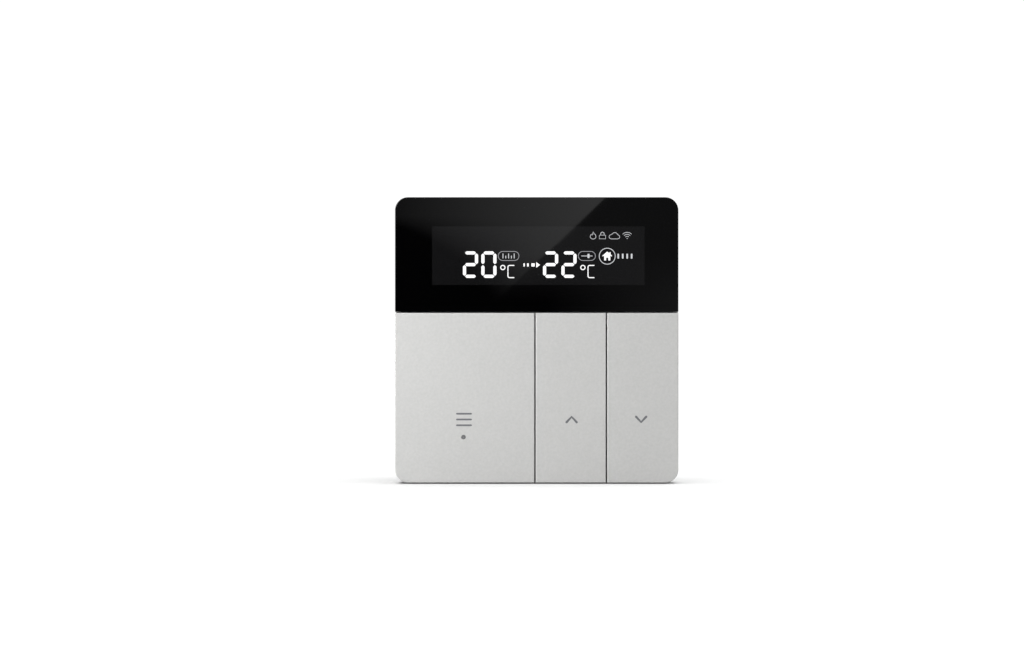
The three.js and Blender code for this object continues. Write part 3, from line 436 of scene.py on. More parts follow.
def cardLevel(finish, spread):
    # x and z are the places on the window that mirror the card towards the camera
    x = finish.axis("X") / spread
    z = finish.axis("Z") / spread
    left, top, right = cardLight["left"], cardLight["top"], cardLight["right"]
    isLeft = (x - z * cardLight["slope"] - cardLight["edge"]).below(0.0)
    # left of the edge it grows to the right, and fades out low down and far left
    lifted = ((z - top["from"]) / top["over"]).held(-1.0, 1.0) - 1.0
    farLeft = x.held(top["farLeft"], 0.0) / -top["run"]
    fade = ((z - left["fadeFrom"]) / left["fadeOver"]).held()
    bright = (x / left["run"] + left["base"] + lifted * (farLeft + top["base"])).most(0.0) * fade
    # right of it, it is dim, and dimmest at the bottom
    high = ((z - right["from"]) / right["over"]).held()
    foot = (x / right["run"] - right["base"]).most(0.0)
    dim = high * right["level"] + (1 - high) * foot
    return isLeft * bright + (1 - isLeft) * dim


def setCard(cameraDistance):
    # a large card behind the camera: only the gloss of the window and of the keys sees it
    selectNothing()
    bpy.ops.mesh.primitive_plane_add(
        size=card["size"], location=(0, faceY - card["distance"], 0), rotation=(math.pi / 2, 0, 0))
    made = settle(bpy.context.object)
    made.name = "card"
    made.visible_camera = False
    made.visible_diffuse = False
    made.visible_shadow = False
    made.visible_transmission = False
    finish = Finish("cardLight", {"Roughness": 1.0, "Specular IOR Level": 0.0, "Emission Strength": 1.0})
    level = cardLevel(finish, 1 + card["distance"] / cameraDistance)
    finish.shade(colour=(0, 0, 0), glow=finish.between(level, (0, 0, 0), (1, 1, 1)))
    made.data.materials.append(finish.material)


bpy.context.scene.view_settings.view_transform = "Standard"
cameraDistance = setCamera()
keyLight = setLight("softbox", softbox)
setLight("sideLight", sideLight)
setSkylight()
setWorld()
spareFloor(keyLight, setFloor())
setCard(cameraDistance)
print("camera and studio set")

paint = {
    "colour": (0.435, 0.435, 0.428), "spread": 0.07, "flake": 0.16 * mm, "flakeTone": 1.2,
    "mottle": 0.75 * mm, "mottleTone": 1.1, "cloud": 9 * mm, "cloudTone": 0.3, "haze": 0.3 * mm,
    "hazeRough": 0.1, "rough": 0.36, "metal": 0.2, "flakeMetal": 0.12, "peel": 0.12 * mm,
    "peelDepth": 0.004 * mm, "peelStrength": 0.6}


def keyPaint():
    # silver paint: fine flakes under a thin coat
    finish = Finish("keyPaint", {"Coat Weight": 0.15, "Coat Roughness": 0.25, "IOR": 1.5})
    flake = finish.noise(paint["flake"], 1.0)
    mottle = finish.noise(paint["mottle"], 1.0)
    cloud = finish.noise(paint["cloud"])
    tone = layered(
        0.5, (flake, paint["flakeTone"]), (mottle, paint["mottleTone"]), (cloud, paint["cloudTone"]))
    finish.shade(
        colour=finish.varied(tone, paint["colour"], 1 - paint["spread"], 1 + paint["spread"]),
        rough=finish.noise(paint["haze"]) * paint["hazeRough"] + paint["rough"],
        metal=flake * paint["flakeMetal"] + paint["metal"])
    return finish.bump(finish.noise(paint["peel"]), paint["peelDepth"], paint["peelStrength"]).material


# cell is the colour of the lighter rectangle: painted glow of the cell's backlight
pane = {
    "halfWidth": 32.35 * mm, "halfHeight": 9 * mm, "fade": 0.25 * mm, "x": 0.5 * mm, "z": -0.2 * mm,
    "tint": (0.0004, 0.0004, 0.0005), "cell": (0.0041, 0.0041, 0.0044), "haze": 14 * mm, "rough": 0.008,
    "hazeRough": 0.02}


def glossBlack():
    # the backlit cell behind the tinted pane is painted as a rectangle a touch lighter: painted glow of its
    # backlight, put into the colour
    finish = Finish("glossBlack", {"IOR": 1.5, "Specular IOR Level": 0.5})
    x = (finish.axis("X") - pane["x"]).size()
    z = (finish.axis("Z") - (viewCentre.z + pane["z"])).size()
    acrossEdge = ((pane["halfWidth"] - x) / pane["fade"]).held()
    downEdge = ((pane["halfHeight"] - z) / pane["fade"]).held()
    finish.shade(
        colour=finish.between(acrossEdge * downEdge, pane["tint"], pane["cell"]),
        rough=finish.noise(pane["haze"], 3.0) * pane["hazeRough"] + pane["rough"])
    return finish.material


moulding = {
    "spread": 0.04, "cloud": 11 * mm, "fineTone": 0.7, "cloudTone": 0.9, "fineRough": 0.08,
    "cloudRough": 0.12}


def moulded(name, colour, rough=0.45, grain=0.35 * mm, depth=0.012 * mm):
    # spark-eroded moulding: fine grain, a little cloudiness and a rubbed sheen
    spread = moulding["spread"]
    finish = Finish(name, {"IOR": 1.47})
    fine = finish.noise(grain, 3.0)
    cloud = finish.noise(moulding["cloud"])
    tone = layered(0.5, (fine, moulding["fineTone"]), (cloud, moulding["cloudTone"]))
    finish.shade(
        colour=finish.varied(tone, colour, 1 - spread, 1 + spread),
        rough=layered(rough, (cloud, moulding["cloudRough"]), (fine, moulding["fineRough"])))
    return finish.bump(fine, depth).material


rolling = {
    "stain": 7 * mm, "lineTone": 0.9, "stainTone": 0.8, "lineRough": 0.16, "stainRough": 0.12,
    "metal": 0.94, "lineMetal": 0.06, "depth": 0.006 * mm, "strength": 0.7}


def rolledMetal(name, colour, rough=0.32, along=(12, 1, 1), streak=0.14 * mm, spread=0.1):
    # sheet or bar with fine rolling lines along one way
    finish = Finish(name, {"IOR": 2.2})
    lines = finish.noise(streak, 3.0, finish.stretched(along))
    stain = finish.noise(rolling["stain"], 3.0)
    tone = layered(0.5, (lines, rolling["lineTone"]), (stain, rolling["stainTone"]))
    finish.shade(
        colour=finish.varied(tone, colour, 1 - spread, 1 + spread),
        rough=layered(rough, (lines, rolling["lineRough"]), (stain, rolling["stainRough"])),
        metal=rolling["metal"] + lines * rolling["lineMetal"])
    return finish.bump(lines, rolling["depth"], rolling["strength"]).material


board = {
    "bendSize": 9 * mm, "bend": 3 * mm, "halfTrack": 0.28 * mm, "rowPitch": 1.5, "patch": 6 * mm,
    "via": 0.32 * mm, "tin": (0.55, 0.5, 0.42), "tinMetal": 0.8, "weave": 0.5 * mm, "weaveRough": 0.1,
    "rough": 0.28, "copper": 0.035 * mm, "uprightFrom": 0.52, "levelTo": 0.47, "viaFrom": 0.58}


def circuitBoard(name, mask, track, pitch=2.2 * mm):
    # solder mask over copper tracks: the tracks stand up a little and show lighter
    rowPitch = pitch * board["rowPitch"]
    finish = Finish(name, {"Coat Weight": 0.35, "Coat Roughness": 0.12})
    x = finish.axis("X")
    z = finish.axis("Z")
    bend = finish.noise(board["bendSize"], 0.0) * board["bend"]
    upright = ((x + bend).wrapped(pitch) - pitch / 2).size().below(board["halfTrack"])
    level = ((z - bend).wrapped(rowPitch) - rowPitch / 2).size().below(board["halfTrack"])
    patch = finish.noise(board["patch"], 1.0)
    tracks = upright * patch.above(board["uprightFrom"]) + level * patch.below(board["levelTo"])
    viaX = (x.wrapped(pitch) - pitch / 2).size()
    viaZ = (z.wrapped(pitch) - pitch / 2).size()
    vias = (viaX * viaX + viaZ * viaZ).below(board["via"] ** 2) * patch.above(board["viaFrom"])
    weave = finish.noise(board["weave"])
    raised = (tracks + vias).least(1.0)
    withTracks = finish.between(raised, finish.varied(weave, mask, 0.9, 1.1), track)
    finish.shade(
        colour=finish.between(vias, withTracks, board["tin"]),
        rough=weave * board["weaveRough"] + board["rough"],
        metal=vias * board["tinMetal"])
    return finish.bump(raised, board["copper"]).material


epoxy = {
    "grit": 0.12 * mm, "darkest": 0.7, "brightest": 1.5, "rough": 0.5, "gritRough": 0.15,
    "depth": 0.01 * mm}


def chipEpoxy(name, colour=(0.012, 0.012, 0.013)):
    finish = Finish(name, {"IOR": 1.5})
    grit = finish.noise(epoxy["grit"], 3.0)
    finish.shade(
        colour=finish.varied(grit, colour, epoxy["darkest"], epoxy["brightest"]),
        rough=grit * epoxy["gritRough"] + epoxy["rough"])
    return finish.bump(grit, epoxy["depth"]).material


flowMarks = {
    "size": 3 * mm, "along": (1, 1, 5), "darkest": 0.94, "brightest": 1.04, "rough": 0.05,
    "depth": 0.01 * mm, "strength": 0.5}


def clearPlastic(name, colour, rough):
    # clear moulding with faint flow marks, drawn out upwards
    finish = Finish(name, {"Transmission Weight": 0.6, "IOR": 1.49})
    flow = finish.noise(flowMarks["size"], 2.0, finish.stretched(flowMarks["along"]))
    finish.shade(
        colour=finish.varied(flow, colour, flowMarks["darkest"], flowMarks["brightest"]),
        rough=flow * flowMarks["rough"] + rough)
    return finish.bump(flow, flowMarks["depth"], flowMarks["strength"]).material


bands = {
    "wobble": 2.5 * mm, "sway": 0.25, "stain": 3 * mm, "darkest": 0.92, "brightest": 1.08, "rough": 0.4,
    "stainRough": 0.15, "depth": -0.04 * mm}


def banded(name, colour, second, pitch, share):
    # bands side by side along X, one pitch apart: share is how much of a pitch has the second colour
    finish = Finish(name, {"IOR": 1.5})
    wobble = finish.noise(bands["wobble"]) * (pitch * bands["sway"])
    seam = (finish.axis("X") + wobble).wrapped(pitch).below(pitch * share)
    stain = finish.noise(bands["stain"], 3.0)
    base = finish.varied(stain, colour, bands["darkest"], bands["brightest"])
    finish.shade(
        colour=finish.between(seam, base, second),
        rough=stain * bands["stainRough"] + bands["rough"])
    return finish.bump(seam, bands["depth"]).material


# dark and light are the sleeve's tone in and out of its creases: painted crease shade and sheen
sleeve = {
    "stripe": 1.3 * mm, "bareTop": 3.2 * mm, "topDepth": 0.3 * mm, "crease": 0.9 * mm, "along": (1, 4, 1),
    "dark": (0.018, 0.02, 0.035), "light": (0.03, 0.033, 0.055), "mark": (0.42, 0.42, 0.42),
    "metal": (0.7, 0.7, 0.72), "rough": 0.25, "creaseRough": 0.1, "depth": 0.02 * mm}


def canSleeve():
    # a shrunk sleeve with one pale stripe down its side, and a bare metal top
    low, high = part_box("bulk_capacitor")
    middle = (low + high) / 2
    finish = Finish("canSleeve", {"IOR": 1.5})
    x = finish.axis("X") - middle.x
    z = finish.axis("Z") - middle.z
    stripe = z.size().below(sleeve["stripe"]) * x.below(0.0)
    radius = (x * x + z * z).root()
    top = radius.below(sleeve["bareTop"]) * finish.axis("Y").above(high.y - sleeve["topDepth"])
    crease = finish.noise(sleeve["crease"], 2.0, finish.stretched(sleeve["along"]))
    # darker and lighter along the creases: painted shade and sheen of the creases, besides their bump
    creaseShadedSkin = finish.between(crease, sleeve["dark"], sleeve["light"])
    marked = finish.between(stripe, creaseShadedSkin, sleeve["mark"])
    finish.shade(
        colour=finish.between(top, marked, sleeve["metal"]),
        rough=crease * sleeve["creaseRough"] + sleeve["rough"],
        metal=top)
    return finish.bump(crease, sleeve["depth"]).material


lamp = {"mottle": 0.8 * mm, "darkest": 0.94, "unlit": 0.1}


def lampLight(name, colour, strength):
    # lit from behind: even, with the slight mottle of the diffuser
    finish = Finish(name, {"Emission Strength": strength, "Specular IOR Level": 0.1, "Roughness": 0.6})
    finish.shade(
        colour=shadeOf(colour, lamp["unlit"]),
        glow=finish.varied(finish.noise(lamp["mottle"]), colour, lamp["darkest"], 1))
    return finish.material


inkFilm = {
    "grain": 0.1 * mm, "darkest": 0.85, "brightest": 1.15, "rough": 0.45, "grainRough": 0.1,
    "depth": 0.003 * mm}


def printedInk(name, colour):
    finish = Finish(name, {"IOR": 1.45})
    grain = finish.noise(inkFilm["grain"])
    finish.shade(
        colour=finish.varied(grain, colour, inkFilm["darkest"], inkFilm["brightest"]),
        rough=grain * inkFilm["grainRough"] + inkFilm["rough"])
    return finish.bump(grain, inkFilm["depth"]).material


finishes = {
    "frame_plastic": moulded("framePlastic", (0.33, 0.33, 0.326), 0.42),
    "window_gloss": glossBlack(),
    "adhesive_film": moulded("adhesiveFilm", (0.012, 0.012, 0.014), 0.7, 0.2 * mm),
    "cell_glass": clearPlastic("cellGlass", (0.05, 0.055, 0.06), 0.05),
    "clear_acrylic": clearPlastic("clearAcrylic", (0.86, 0.9, 0.9), 0.08),
    "white_plastic": moulded("whitePlastic", (0.72, 0.72, 0.7), 0.45),
    "elastomer": banded("stripRubber", (0.35, 0.35, 0.36), (0.015, 0.015, 0.015), 0.12 * mm, 0.5),
    "board_green": circuitBoard("boardGreen", (0.008, 0.085, 0.03), (0.03, 0.17, 0.06)),
    "chip_black": chipEpoxy("chipBlack"),
    "shield_steel": rolledMetal("shieldSteel", (0.62, 0.62, 0.6), 0.3),
    "switch_black": chipEpoxy("switchBlack", (0.016, 0.016, 0.017)),
    "plunger_brown": moulded("plungerBrown", (0.16, 0.07, 0.03), 0.5, 0.15 * mm, 0.006 * mm),
    "lamp_clear": clearPlastic("lampClear", (0.3, 0.3, 0.31), 0.2),
    "sensor_bead": chipEpoxy("sensorBead", (0.02, 0.014, 0.01)),
    "connector_black": moulded("connectorBlack", (0.014, 0.014, 0.015), 0.5, 0.2 * mm),
    "screw_steel": rolledMetal("screwSteel", (0.56, 0.57, 0.6), 0.3, (1, 1, 1), 0.3 * mm),
    "key_paint": keyPaint(),
    "rod_steel": rolledMetal("rodSteel", (0.6, 0.6, 0.62), 0.2, (30, 1, 1), 0.1 * mm, 0.06),
    "plate_steel": rolledMetal("plateSteel", (0.58, 0.59, 0.6), 0.36, (1, 1, 18), 0.18 * mm, 0.12),
    "box_plastic": moulded("boxPlastic", (0.4, 0.4, 0.385), 0.5, 0.4 * mm, 0.016 * mm),
    "board_tan": circuitBoard("boardTan", (0.24, 0.13, 0.04), (0.33, 0.19, 0.07), 3 * mm),
    "relay_blue": moulded("relayBlue", (0.02, 0.08, 0.36), 0.3, 0.3 * mm, 0.006 * mm),
    "winding_tape": banded("windingTape", (0.72, 0.5, 0.06), (0.03, 0.028, 0.026), 4.7 * mm, 0.3),
    "can_sleeve": canSleeve(),
    "film_yellow": moulded("filmYellow", (0.66, 0.45, 0.04), 0.35, 0.4 * mm, 0.006 * mm),
    "disc_blue": moulded("discBlue", (0.01, 0.1, 0.3), 0.3, 0.6 * mm, 0.03 * mm),
    "fuse_brown": moulded("fuseBrown", (0.07, 0.03, 0.018), 0.35, 0.3 * mm),
    "terminal_green": moulded("terminalGreen", (0.012, 0.13, 0.036), 0.42, 0.3 * mm),
    "clamp_steel": rolledMetal("clampSteel", (0.6, 0.58, 0.5), 0.34, (1, 8, 1)),
    "contact_brass": rolledMetal("contactBrass", (0.75, 0.55, 0.22), 0.28, (1, 1, 10)),
}

slotOf = {name: node.data.materials[0].name for name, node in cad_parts.items()}
for name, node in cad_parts.items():
    node.material_slots[0].material = finishes[slotOf[name]]
print("finishes made:", len(finishes))

window = {"cornerRadius": 4 * mm, "cornerSteps": 14, "edgeRound": 0.2 * mm, "edgeSteps": 3}


def makeWindow():
    low, high = paneLow, paneHigh
    made = block("window_pane", low, high)
    pickEdges(made, lambda a, b: abs(a.y - b.y) > hair and a.z > high.z - hair)
    roundPicked(window["cornerRadius"], window["cornerSteps"])
    # the lower edge meets the keys, so it stays square
    pickEdges(made, lambda a, b: max(a.y, b.y) < low.y + hair and max(a.z, b.z) > low.z + hair)
    roundPicked(window["edgeRound"], window["edgeSteps"])
    heal(made)
    hand(made, "front_unit", finishes["window_gloss"], ["display_window"])


makeWindow()
print("window made")

display = {
    "thick": 0.03 * mm, "thinLine": 0.2 * mm, "roundness": 1, "bright": ((1.0, 1.0, 1.0), 1.05),
    "soft": ((0.6, 0.61, 0.63), 1.0), "faint": ((0.33, 0.33, 0.35), 1.0)}    # colours and their strengths
figure = {
    "width": 4.6 * mm, "height": 8.05 * mm, "stroke": 0.96 * mm, "point": 0.43 * mm, "pitch": 5.58 * mm,
    "drop": -2.92 * mm, "levelCut": 1.36 * mm, "uprightCut": 0.36 * mm}
unit = {
    "degreeShift": 9.8 * mm, "degreeDrop": -3.8 * mm, "degreeRadius": 0.66 * mm, "line": 0.34 * mm,
    "lastAngle": 345, "ringSteps": 15, "bendSteps": 5,
    "shift": 12.25 * mm, "drop": -5.02 * mm, "width": 1.8 * mm, "height": 3.7 * mm, "corner": 0.5 * mm}
tag = {
    "shift": 8.4 * mm, "drop": -0.3 * mm, "height": 2.75 * mm, "endSteps": 12, "signHeight": 1.3 * mm,
    "signLine": 0.24 * mm, "tickPitch": 0.85 * mm, "slider": 3.2 * mm, "grip": 0.62 * mm,
    "gripShift": 0.5 * mm, "gripRound": 0.3}
readings = [
    {"figures": "20", "start": -20.07 * mm, "tagWidth": 6.3 * mm},
    {"figures": "22", "start": 4.22 * mm, "tagWidth": 5.2 * mm}]
barsOf = {"0": "abcdef", "2": "abged"}    # a top, b and c right, d bottom, e and f left, g middle
tipSteps = ((0.45, 0.9), (0.8, 0.6), (0.97, 0.25))    # how far past an open end, and how wide there


def arc(x, z, radius, first, last, steps):
    # points on a circle, angles in degrees
    angles = [math.radians(first + (last - first) * step / steps) for step in range(steps + 1)]
    return [(x + radius * math.cos(angle), z + radius * math.sin(angle)) for angle in angles]


def withTips(line, width):
    points = [(x, z, 1.0) for x, z in line]
    for end, before, isLast in ((line[0], line[1], False), (line[-1], line[-2], True)):
        way = (Vector(end) - Vector(before)).normalized()
        for step, share in tipSteps:
            tip = Vector(end) + way * (step * width / 2)
            points.insert(len(points) if isLast else 0, (tip.x, tip.y, share))
    return points


def drawLines(name, lines, width, closed=False):
    # each line is a list of (x, z) places from the middle of the view, drawn as a thin flat bead
    selectNothing()
    bpy.ops.curve.primitive_bezier_curve_add()
    drawn = bpy.context.object
    drawn.data.splines.clear()
    for line in lines:
        spline = drawn.data.splines.new("POLY")
        points = [(x, z, 1.0) for x, z in line] if closed else withTips(line, width)
        spline.points.add(len(points) - 1)
        for point, (x, z, share) in zip(spline.points, points):
            point.co = (x, 0, z, 1)
            point.radius = share
        spline.use_cyclic_u = closed
    drawn.data.dimensions = "3D"
    drawn.data.bevel_depth = width / 2
    drawn.data.bevel_resolution = display["roundness"]
    drawn.data.use_fill_caps = True
    bpy.ops.object.convert(target="MESH")
    drawn = bpy.context.object
    drawn.name = name
    drawn.scale.y = display["thick"] / width
    drawn.location = viewCentre
    return settle(drawn)


def flatBar(x, z, width, height, corner, steps=3):
    half = Vector((width / 2, display["thick"] / 2, height / 2))
    middle = viewCentre + Vector((x, 0, z))
    bar = block("bar", middle - half, middle + half)
    pickEdges(bar, lambda a, b: abs(a.y - b.y) > hair / 2)
    roundPicked(corner, steps)
    return bar


def makeFigures():
    # seven bars with pointed ends, a thin gap between each two
    stroke = figure["stroke"]
    level = flatBar(0, 0, figure["width"] - figure["levelCut"], stroke, figure["point"], 1)
    side = (figure["width"] - stroke) / 2
    rise = (figure["height"] - stroke) / 2
    upright = flatBar(0, 0, stroke, rise - figure["uprightCut"], figure["point"], 1)
    spots = {
        "a": (level, 0, rise), "g": (level, 0, 0), "d": (level, 0, -rise),
        "b": (upright, side, rise / 2), "c": (upright, side, -rise / 2),
        "f": (upright, -side, rise / 2), "e": (upright, -side, -rise / 2)}
    bars = []
    for reading in readings:
        for place, sign in enumerate(reading["figures"]):
            x = reading["start"] + place * figure["pitch"]
            for letter in barsOf[sign]:
                shape, across, up = spots[letter]
                bars.append(copyAt(shape, "bar", (x + across, 0, figure["drop"] + up)))
    bpy.data.objects.remove(level)
    bpy.data.objects.remove(upright)
    return merge(bars, "display_figures")


def makeUnits():
    # a small ring and a thin three-sided bracket after each pair of figures
    rings, brackets = [], []
    half, corner, middle = unit["line"] / 2, unit["corner"], unit["drop"]
    for reading in readings:
        ringX, ringZ = reading["start"] + unit["degreeShift"], unit["degreeDrop"]
        rings.append(arc(ringX, ringZ, unit["degreeRadius"], 0, unit["lastAngle"], unit["ringSteps"]))
        left = reading["start"] + unit["shift"] - unit["width"] / 2
        right = left + unit["width"]
        for way in (1, -1):
            end = middle + way * unit["height"] / 2
            bend = arc(left + corner, end - way * corner, corner, way * 90, way * 180, unit["bendSteps"])
            brackets.append([(right, end), *bend, (left, middle + way * half)])
    ring = drawLines("rings", rings, unit["line"], True)
    return merge([ring, drawLines("brackets", brackets, unit["line"])], "display_units")


arrow = {
    "drop": -3.01 * mm, "height": 0.98 * mm, "corner": 0.1 * mm, "headRadius": 0.8 * mm,
    "headShift": 0.25 * mm, "headSlim": 1.25, "headSteps": 2,
    "bars": ((-3.8 * mm, 0.42 * mm), (-2.66 * mm, 0.52 * mm), (-1.1 * mm, 1.02 * mm))}    # place and width


def makeArrow():
    # three growing bars and a point, from one reading to the other
    drop = arrow["drop"]
    bars = [flatBar(x, drop, width, arrow["height"], arrow["corner"]) for x, width in arrow["bars"]]
    selectNothing()
    bpy.ops.mesh.primitive_cylinder_add(vertices=3, radius=arrow["headRadius"], depth=display["thick"])
    head = bpy.context.object
    head.rotation_euler = (math.pi / 2, math.pi / 2, 0)
    settle(head)
    head.scale.z = arrow["headSlim"]
    head.location = viewCentre + Vector((arrow["headShift"], 0, drop))
    settle(head)
    pickEdges(head, lambda a, b: abs(a.y - b.y) > hair / 2)
    roundPicked(arrow["corner"] / 2, arrow["headSteps"])
    return merge([*bars, head], "display_arrow")


def pillLine(x, z, width, height, steps):
    # a level outline with two round ends
    radius = height / 2
    reach = width / 2 - radius
    return arc(x + reach, z, radius, -90, 90, steps) + arc(x - reach, z, radius, 90, 270, steps)


def makeTags():
    # each reading has an outlined tag: a scale of ticks stands in one, a slider in the other
    z, half = tag["drop"], tag["signHeight"] / 2
    rims, middles = [], []
    for reading in readings:
        x = reading["start"] + tag["shift"] + reading["tagWidth"] / 2
        rims.append(pillLine(x, z, reading["tagWidth"], tag["height"], tag["endSteps"]))
        middles.append(x)
    room, chosen = middles
    lines = []
    for step in (-2, -1, 0, 1, 2):
        x = room + step * tag["tickPitch"]
        lines.append([(x, z - half), (x, z + half if step % 2 == 0 else z)])
    lines.append([(chosen - tag["slider"] / 2, z), (chosen + tag["slider"] / 2, z)])
    gripCorner = tag["grip"] * tag["gripRound"]
    grip = flatBar(chosen + tag["gripShift"], z, tag["grip"], tag["signHeight"], gripCorner)
    rim = drawLines("display_tag_rims", rims, display["thinLine"], True)
    return rim, merge([drawLines("lines", lines, tag["signLine"]), grip], "display_tag_signs")


home = {
    "x": 21.4 * mm, "z": -0.36 * mm, "ring": 2.42 * mm, "ringLine": 0.24 * mm, "ringSteps": 60,
    "wallHalf": 0.92 * mm, "floorDrop": 1.3 * mm, "eaves": 0.25 * mm, "gable": 0.8 * mm, "gableWidth": 0.12,
    "doorHalf": 0.34 * mm, "doorTop": -0.45 * mm, "roofReach": 1.28 * mm, "roofFoot": 0.1 * mm,
    "roofTop": 1.25 * mm, "roofLine": 0.36 * mm, "chimneyX": 0.85 * mm, "chimneyZ": 0.85 * mm,
    "chimneyWidth": 0.34 * mm, "chimneyHeight": 0.75 * mm, "chimneyRound": 0.1}
levels = {
    "from": 24.75 * mm, "pitch": 1.35 * mm, "count": 4, "width": 0.5 * mm, "height": 1.5 * mm,
    "corner": 0.15 * mm}


def makeHome():
    # a ring with a filled house in it, and a plain level bar of four strokes beside it
    x, z = home["x"], home["z"]
    middle = viewCentre + Vector((x, 0, z))
    halfThick = display["thick"] / 2
    steps = home["ringSteps"]
    circle = arc(x, z, home["ring"], 0, 360 - 360 / steps, steps - 1)
    ring = drawLines("display_home_ring", [circle], home["ringLine"], True)
    walls = block(
        "walls", middle + Vector((-home["wallHalf"], -halfThick, -home["floorDrop"])),
        middle + Vector((home["wallHalf"], halfThick, home["eaves"])))
    pickFaces(walls, lambda centre, normal: centre.z > middle.z + home["eaves"] - hair)
    bpy.ops.mesh.extrude_region_move(TRANSFORM_OT_translate={"value": (0, 0, home["gable"])})
    bpy.ops.transform.resize(value=(home["gableWidth"], 1, 1), center_override=middle)
    bpy.ops.object.mode_set(mode="OBJECT")
    door = block(
        "door", middle + Vector((-home["doorHalf"], -mm, -home["floorDrop"] - mm)),
        middle + Vector((home["doorHalf"], mm, home["doorTop"])))
    carve(walls, door)
    slopes = [
        (x - home["roofReach"], z + home["roofFoot"]), (x, z + home["roofTop"]),
        (x + home["roofReach"], z + home["roofFoot"])]
    roof = drawLines("roof", [slopes], home["roofLine"])
    chimney = flatBar(
        x + home["chimneyX"], z + home["chimneyZ"], home["chimneyWidth"], home["chimneyHeight"],
        home["chimneyWidth"] * home["chimneyRound"])
    house = merge([walls, roof, chimney], "display_house")
    strokes = []
    for step in range(levels["count"]):
        place = levels["from"] + step * levels["pitch"]
        strokes.append(flatBar(place, z, levels["width"], levels["height"], levels["corner"]))
    return ring, house, merge(strokes, "display_level_bar")


icons = {
    "rise": 5.86 * mm, "line": 0.17 * mm, "flame": 17.1 * mm, "lock": 19.95 * mm, "cloud": 23.59 * mm,
    "waves": 27.44 * mm}
# outlines in millimetres round each icon's own middle
flameLine = (
    (0.1, 1.15), (0.35, 0.55), (0.75, 0.25), (0.9, -0.3), (0.62, -0.85), (0, -1.05), (-0.62, -0.85),
    (-0.9, -0.3), (-0.72, 0.2), (-0.45, 0.45), (-0.3, 0.12), (-0.12, 0.3), (-0.08, 0.75))
lockBody = ((-0.95, -0.95), (0.95, -0.95), (0.95, 0.15), (-0.95, 0.15))
shackle = {"radius": 0.52, "rise": 0.55, "foot": 0.3, "steps": 10}
cloudBumps = ((1.0, -0.38, 0.6, -90, 62), (0.1, 0.08, 0.86, 22, 150), (-0.95, -0.33, 0.65, 105, 270))
bumpSteps = 8
waveLines = {"radii": (0.7, 1.3, 1.9), "from": 48, "to": 132, "drop": 0.9, "steps": 9}
waveDot = {"radius": 0.09, "drop": 0.88, "steps": 3}


def placed(points, x, z):
    return [(x + across * mm, z + up * mm) for across, up in points]


def makeIcons():
    # a flame, a padlock, a cloud and a radio sign in a row
    z = icons["rise"]
    lock, waves = icons["lock"], icons["waves"]
    loops = [placed(flameLine, icons["flame"], z), placed(lockBody, lock, z)]
    bumps = []
    for across, up, radius, first, last in cloudBumps:
        bumps += arc(icons["cloud"] + across * mm, z + up * mm, radius * mm, first, last, bumpSteps)
    loops.append(bumps)
    bow = arc(lock, z + shackle["rise"] * mm, shackle["radius"] * mm, 180, 0, shackle["steps"])
    feet = placed([(-shackle["radius"], shackle["foot"]), (shackle["radius"], shackle["foot"])], lock, z)
    lines = [[feet[0], *bow, feet[1]]]
    waveFoot = z - waveLines["drop"] * mm
    span = (waveLines["from"], waveLines["to"], waveLines["steps"])
    for radius in waveLines["radii"]:
        lines.append(arc(waves, waveFoot, radius * mm, *span))
    lines.append(arc(waves, z - waveDot["drop"] * mm, waveDot["radius"] * mm, 0, 180, waveDot["steps"]))
    openLines = drawLines("openLines", lines, icons["line"])
    return merge([drawLines("loops", loops, icons["line"], True), openLines], "display_icons")


def makeDisplay():
    bright = lampLight("figureWhite", *display["bright"])
    soft = lampLight("signGrey", *display["soft"])
    faint = lampLight("rimGrey", *display["faint"])
    rims, signs = makeTags()
    ring, house, levelBar = makeHome()
    shown = [
        (makeFigures(), bright), (makeUnits(), bright), (makeArrow(), bright), (signs, soft),
        (rims, faint), (ring, soft), (house, bright), (levelBar, soft), (makeIcons(), soft)]
    for piece, finish in shown:
        hand(piece, "front_unit", finish)


makeDisplay()
print("display drawn")

keys = {"edgeRound": 0.28 * mm, "edgeSteps": 4, "innerRound": 0.12 * mm, "lightHole": 1.5 * mm}
marks = {"menu": 0.62 * mm, "chevron": 0.82 * mm, "rise": 19.2 * mm}    # line widths, and place on the key
chevron = {"halfWidth": 1.5 * mm, "halfHeight": 0.8 * mm}
menu = {"halfWidth": 2.1 * mm, "pitch": 1.75 * mm}
lightLow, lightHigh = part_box("mode_light_pipe")
light = (lightLow + lightHigh) / 2
ink = printedInk("signInk", (0.105, 0.107, 0.115))


def makeKey(name):
    low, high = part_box(name)
    piece = softCopy(name, name.replace("_key", "_key_cap"))

    def isRim(a, b):
        # an edge of the face, but not of the small hole over the status light
        onFace = max(a.y, b.y) < low.y + hair
        return onFace and math.hypot(a.x - light.x, a.z - light.z) > keys["lightHole"]

    pickEdges(piece, isRim)
    roundPicked(keys["edgeRound"], keys["edgeSteps"])
    soften(piece, keys["innerRound"])
    hand(piece, name, finishes["key_paint"], [name])
    return low, high


def markKey(name, lines, width, low, high, shift):
    # printed signs in dark ink on the face of a key
    drawn = drawLines(name + "_sign", lines, width)
    middle = Vector(((low.x + high.x) / 2 + shift, 0, low.z + marks["rise"]))
    drawn.location = middle - Vector((0, 0, viewCentre.z))
    settle(drawn)
    hand(drawn, name, ink)


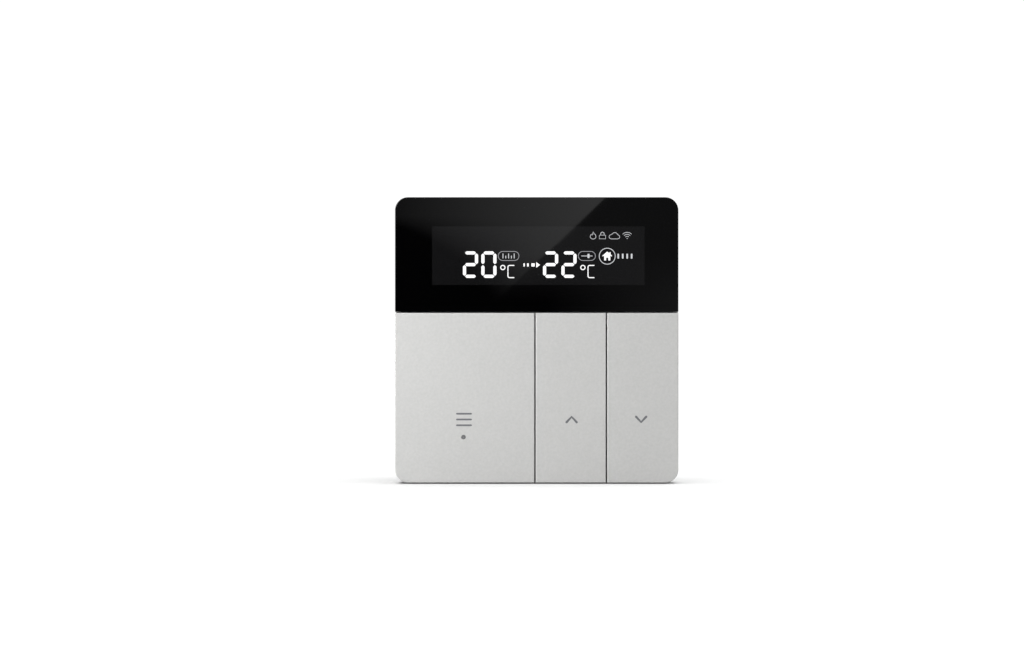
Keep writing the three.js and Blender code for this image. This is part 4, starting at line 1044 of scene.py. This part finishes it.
def makeKeys():
    level = [(-menu["halfWidth"], 0), (menu["halfWidth"], 0)]
    threeLines = [[(x, row * menu["pitch"]) for x, z in level] for row in (-1, 0, 1)]
    upward = [
        (-chevron["halfWidth"], -chevron["halfHeight"]), (0, chevron["halfHeight"]),
        (chevron["halfWidth"], -chevron["halfHeight"])]
    downward = [(x, -z) for x, z in upward]
    for name, lines, width, shift in (
            ("mode_key", threeLines, marks["menu"], -0.2 * mm),
            ("up_key", [upward], marks["chevron"], 0.25 * mm),
            ("down_key", [downward], marks["chevron"], -0.5 * mm)):
        low, high = makeKey(name)
        markKey(name, lines, width, low, high, shift)


makeKeys()
print("keys made")

casings = {
    "front_frame": {"name": "frame_shell", "body": "front_unit", "edge": 0.14 * mm},
    "back_cover": {"name": "cover_shell", "body": "front_unit", "edge": 0.1 * mm},
    "mounting_plate": {"name": "wall_plate", "body": "power_unit", "edge": 0.12 * mm},
    "rear_box": {"name": "rear_shell", "body": "power_unit", "edge": 0.25 * mm},
    "terminal_block": {"name": "terminal_housing", "body": "power_unit", "edge": 0.1 * mm},
}
poleCount = 6
poles = range(1, poleCount + 1)
for pole in poles:
    casings[f"terminal_screw_{pole}"] = {
        "name": f"clamp_screw_{pole}", "body": f"terminal_screw_{pole}", "edge": 0.07 * mm}


def makeCasings():
    # the same shapes as in the frame, with their edges rounded
    for node, casing in casings.items():
        piece = softCopy(node, casing["name"])
        soften(piece, casing["edge"])
        heal(piece)
        hand(piece, casing["body"], finishes[slotOf[node]], [node])


makeCasings()
print("casings made")

numerals = {"size": 2.6 * mm, "stand": 0.12 * mm, "rise": 2.6 * mm, "colour": (0.03, 0.03, 0.032)}


def makeNumerals():
    # raised pole numbers on the rear box, over the terminals
    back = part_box("rear_box")[1].y
    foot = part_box("terminal_block")[1].z
    pieces = []
    for pole in poles:
        low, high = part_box(f"terminal_screw_{pole}")
        selectNothing()
        bpy.ops.object.text_add()
        numeral = bpy.context.object
        numeral.data.body = str(pole)
        numeral.data.size = numerals["size"]
        numeral.data.extrude = numerals["stand"] / 2
        numeral.data.align_x = "CENTER"
        numeral.data.align_y = "CENTER"
        bpy.ops.object.convert(target="MESH")
        numeral = bpy.context.object
        numeral.rotation_euler = (math.pi / 2, 0, math.pi)
        numeral.location = ((low.x + high.x) / 2, back, foot + numerals["rise"])
        pieces.append(settle(numeral))
    numeralInk = printedInk("numeralInk", numerals["colour"])
    hand(merge(pieces, "pole_numbers"), "power_unit", numeralInk)


makeNumerals()
print("numerals made")
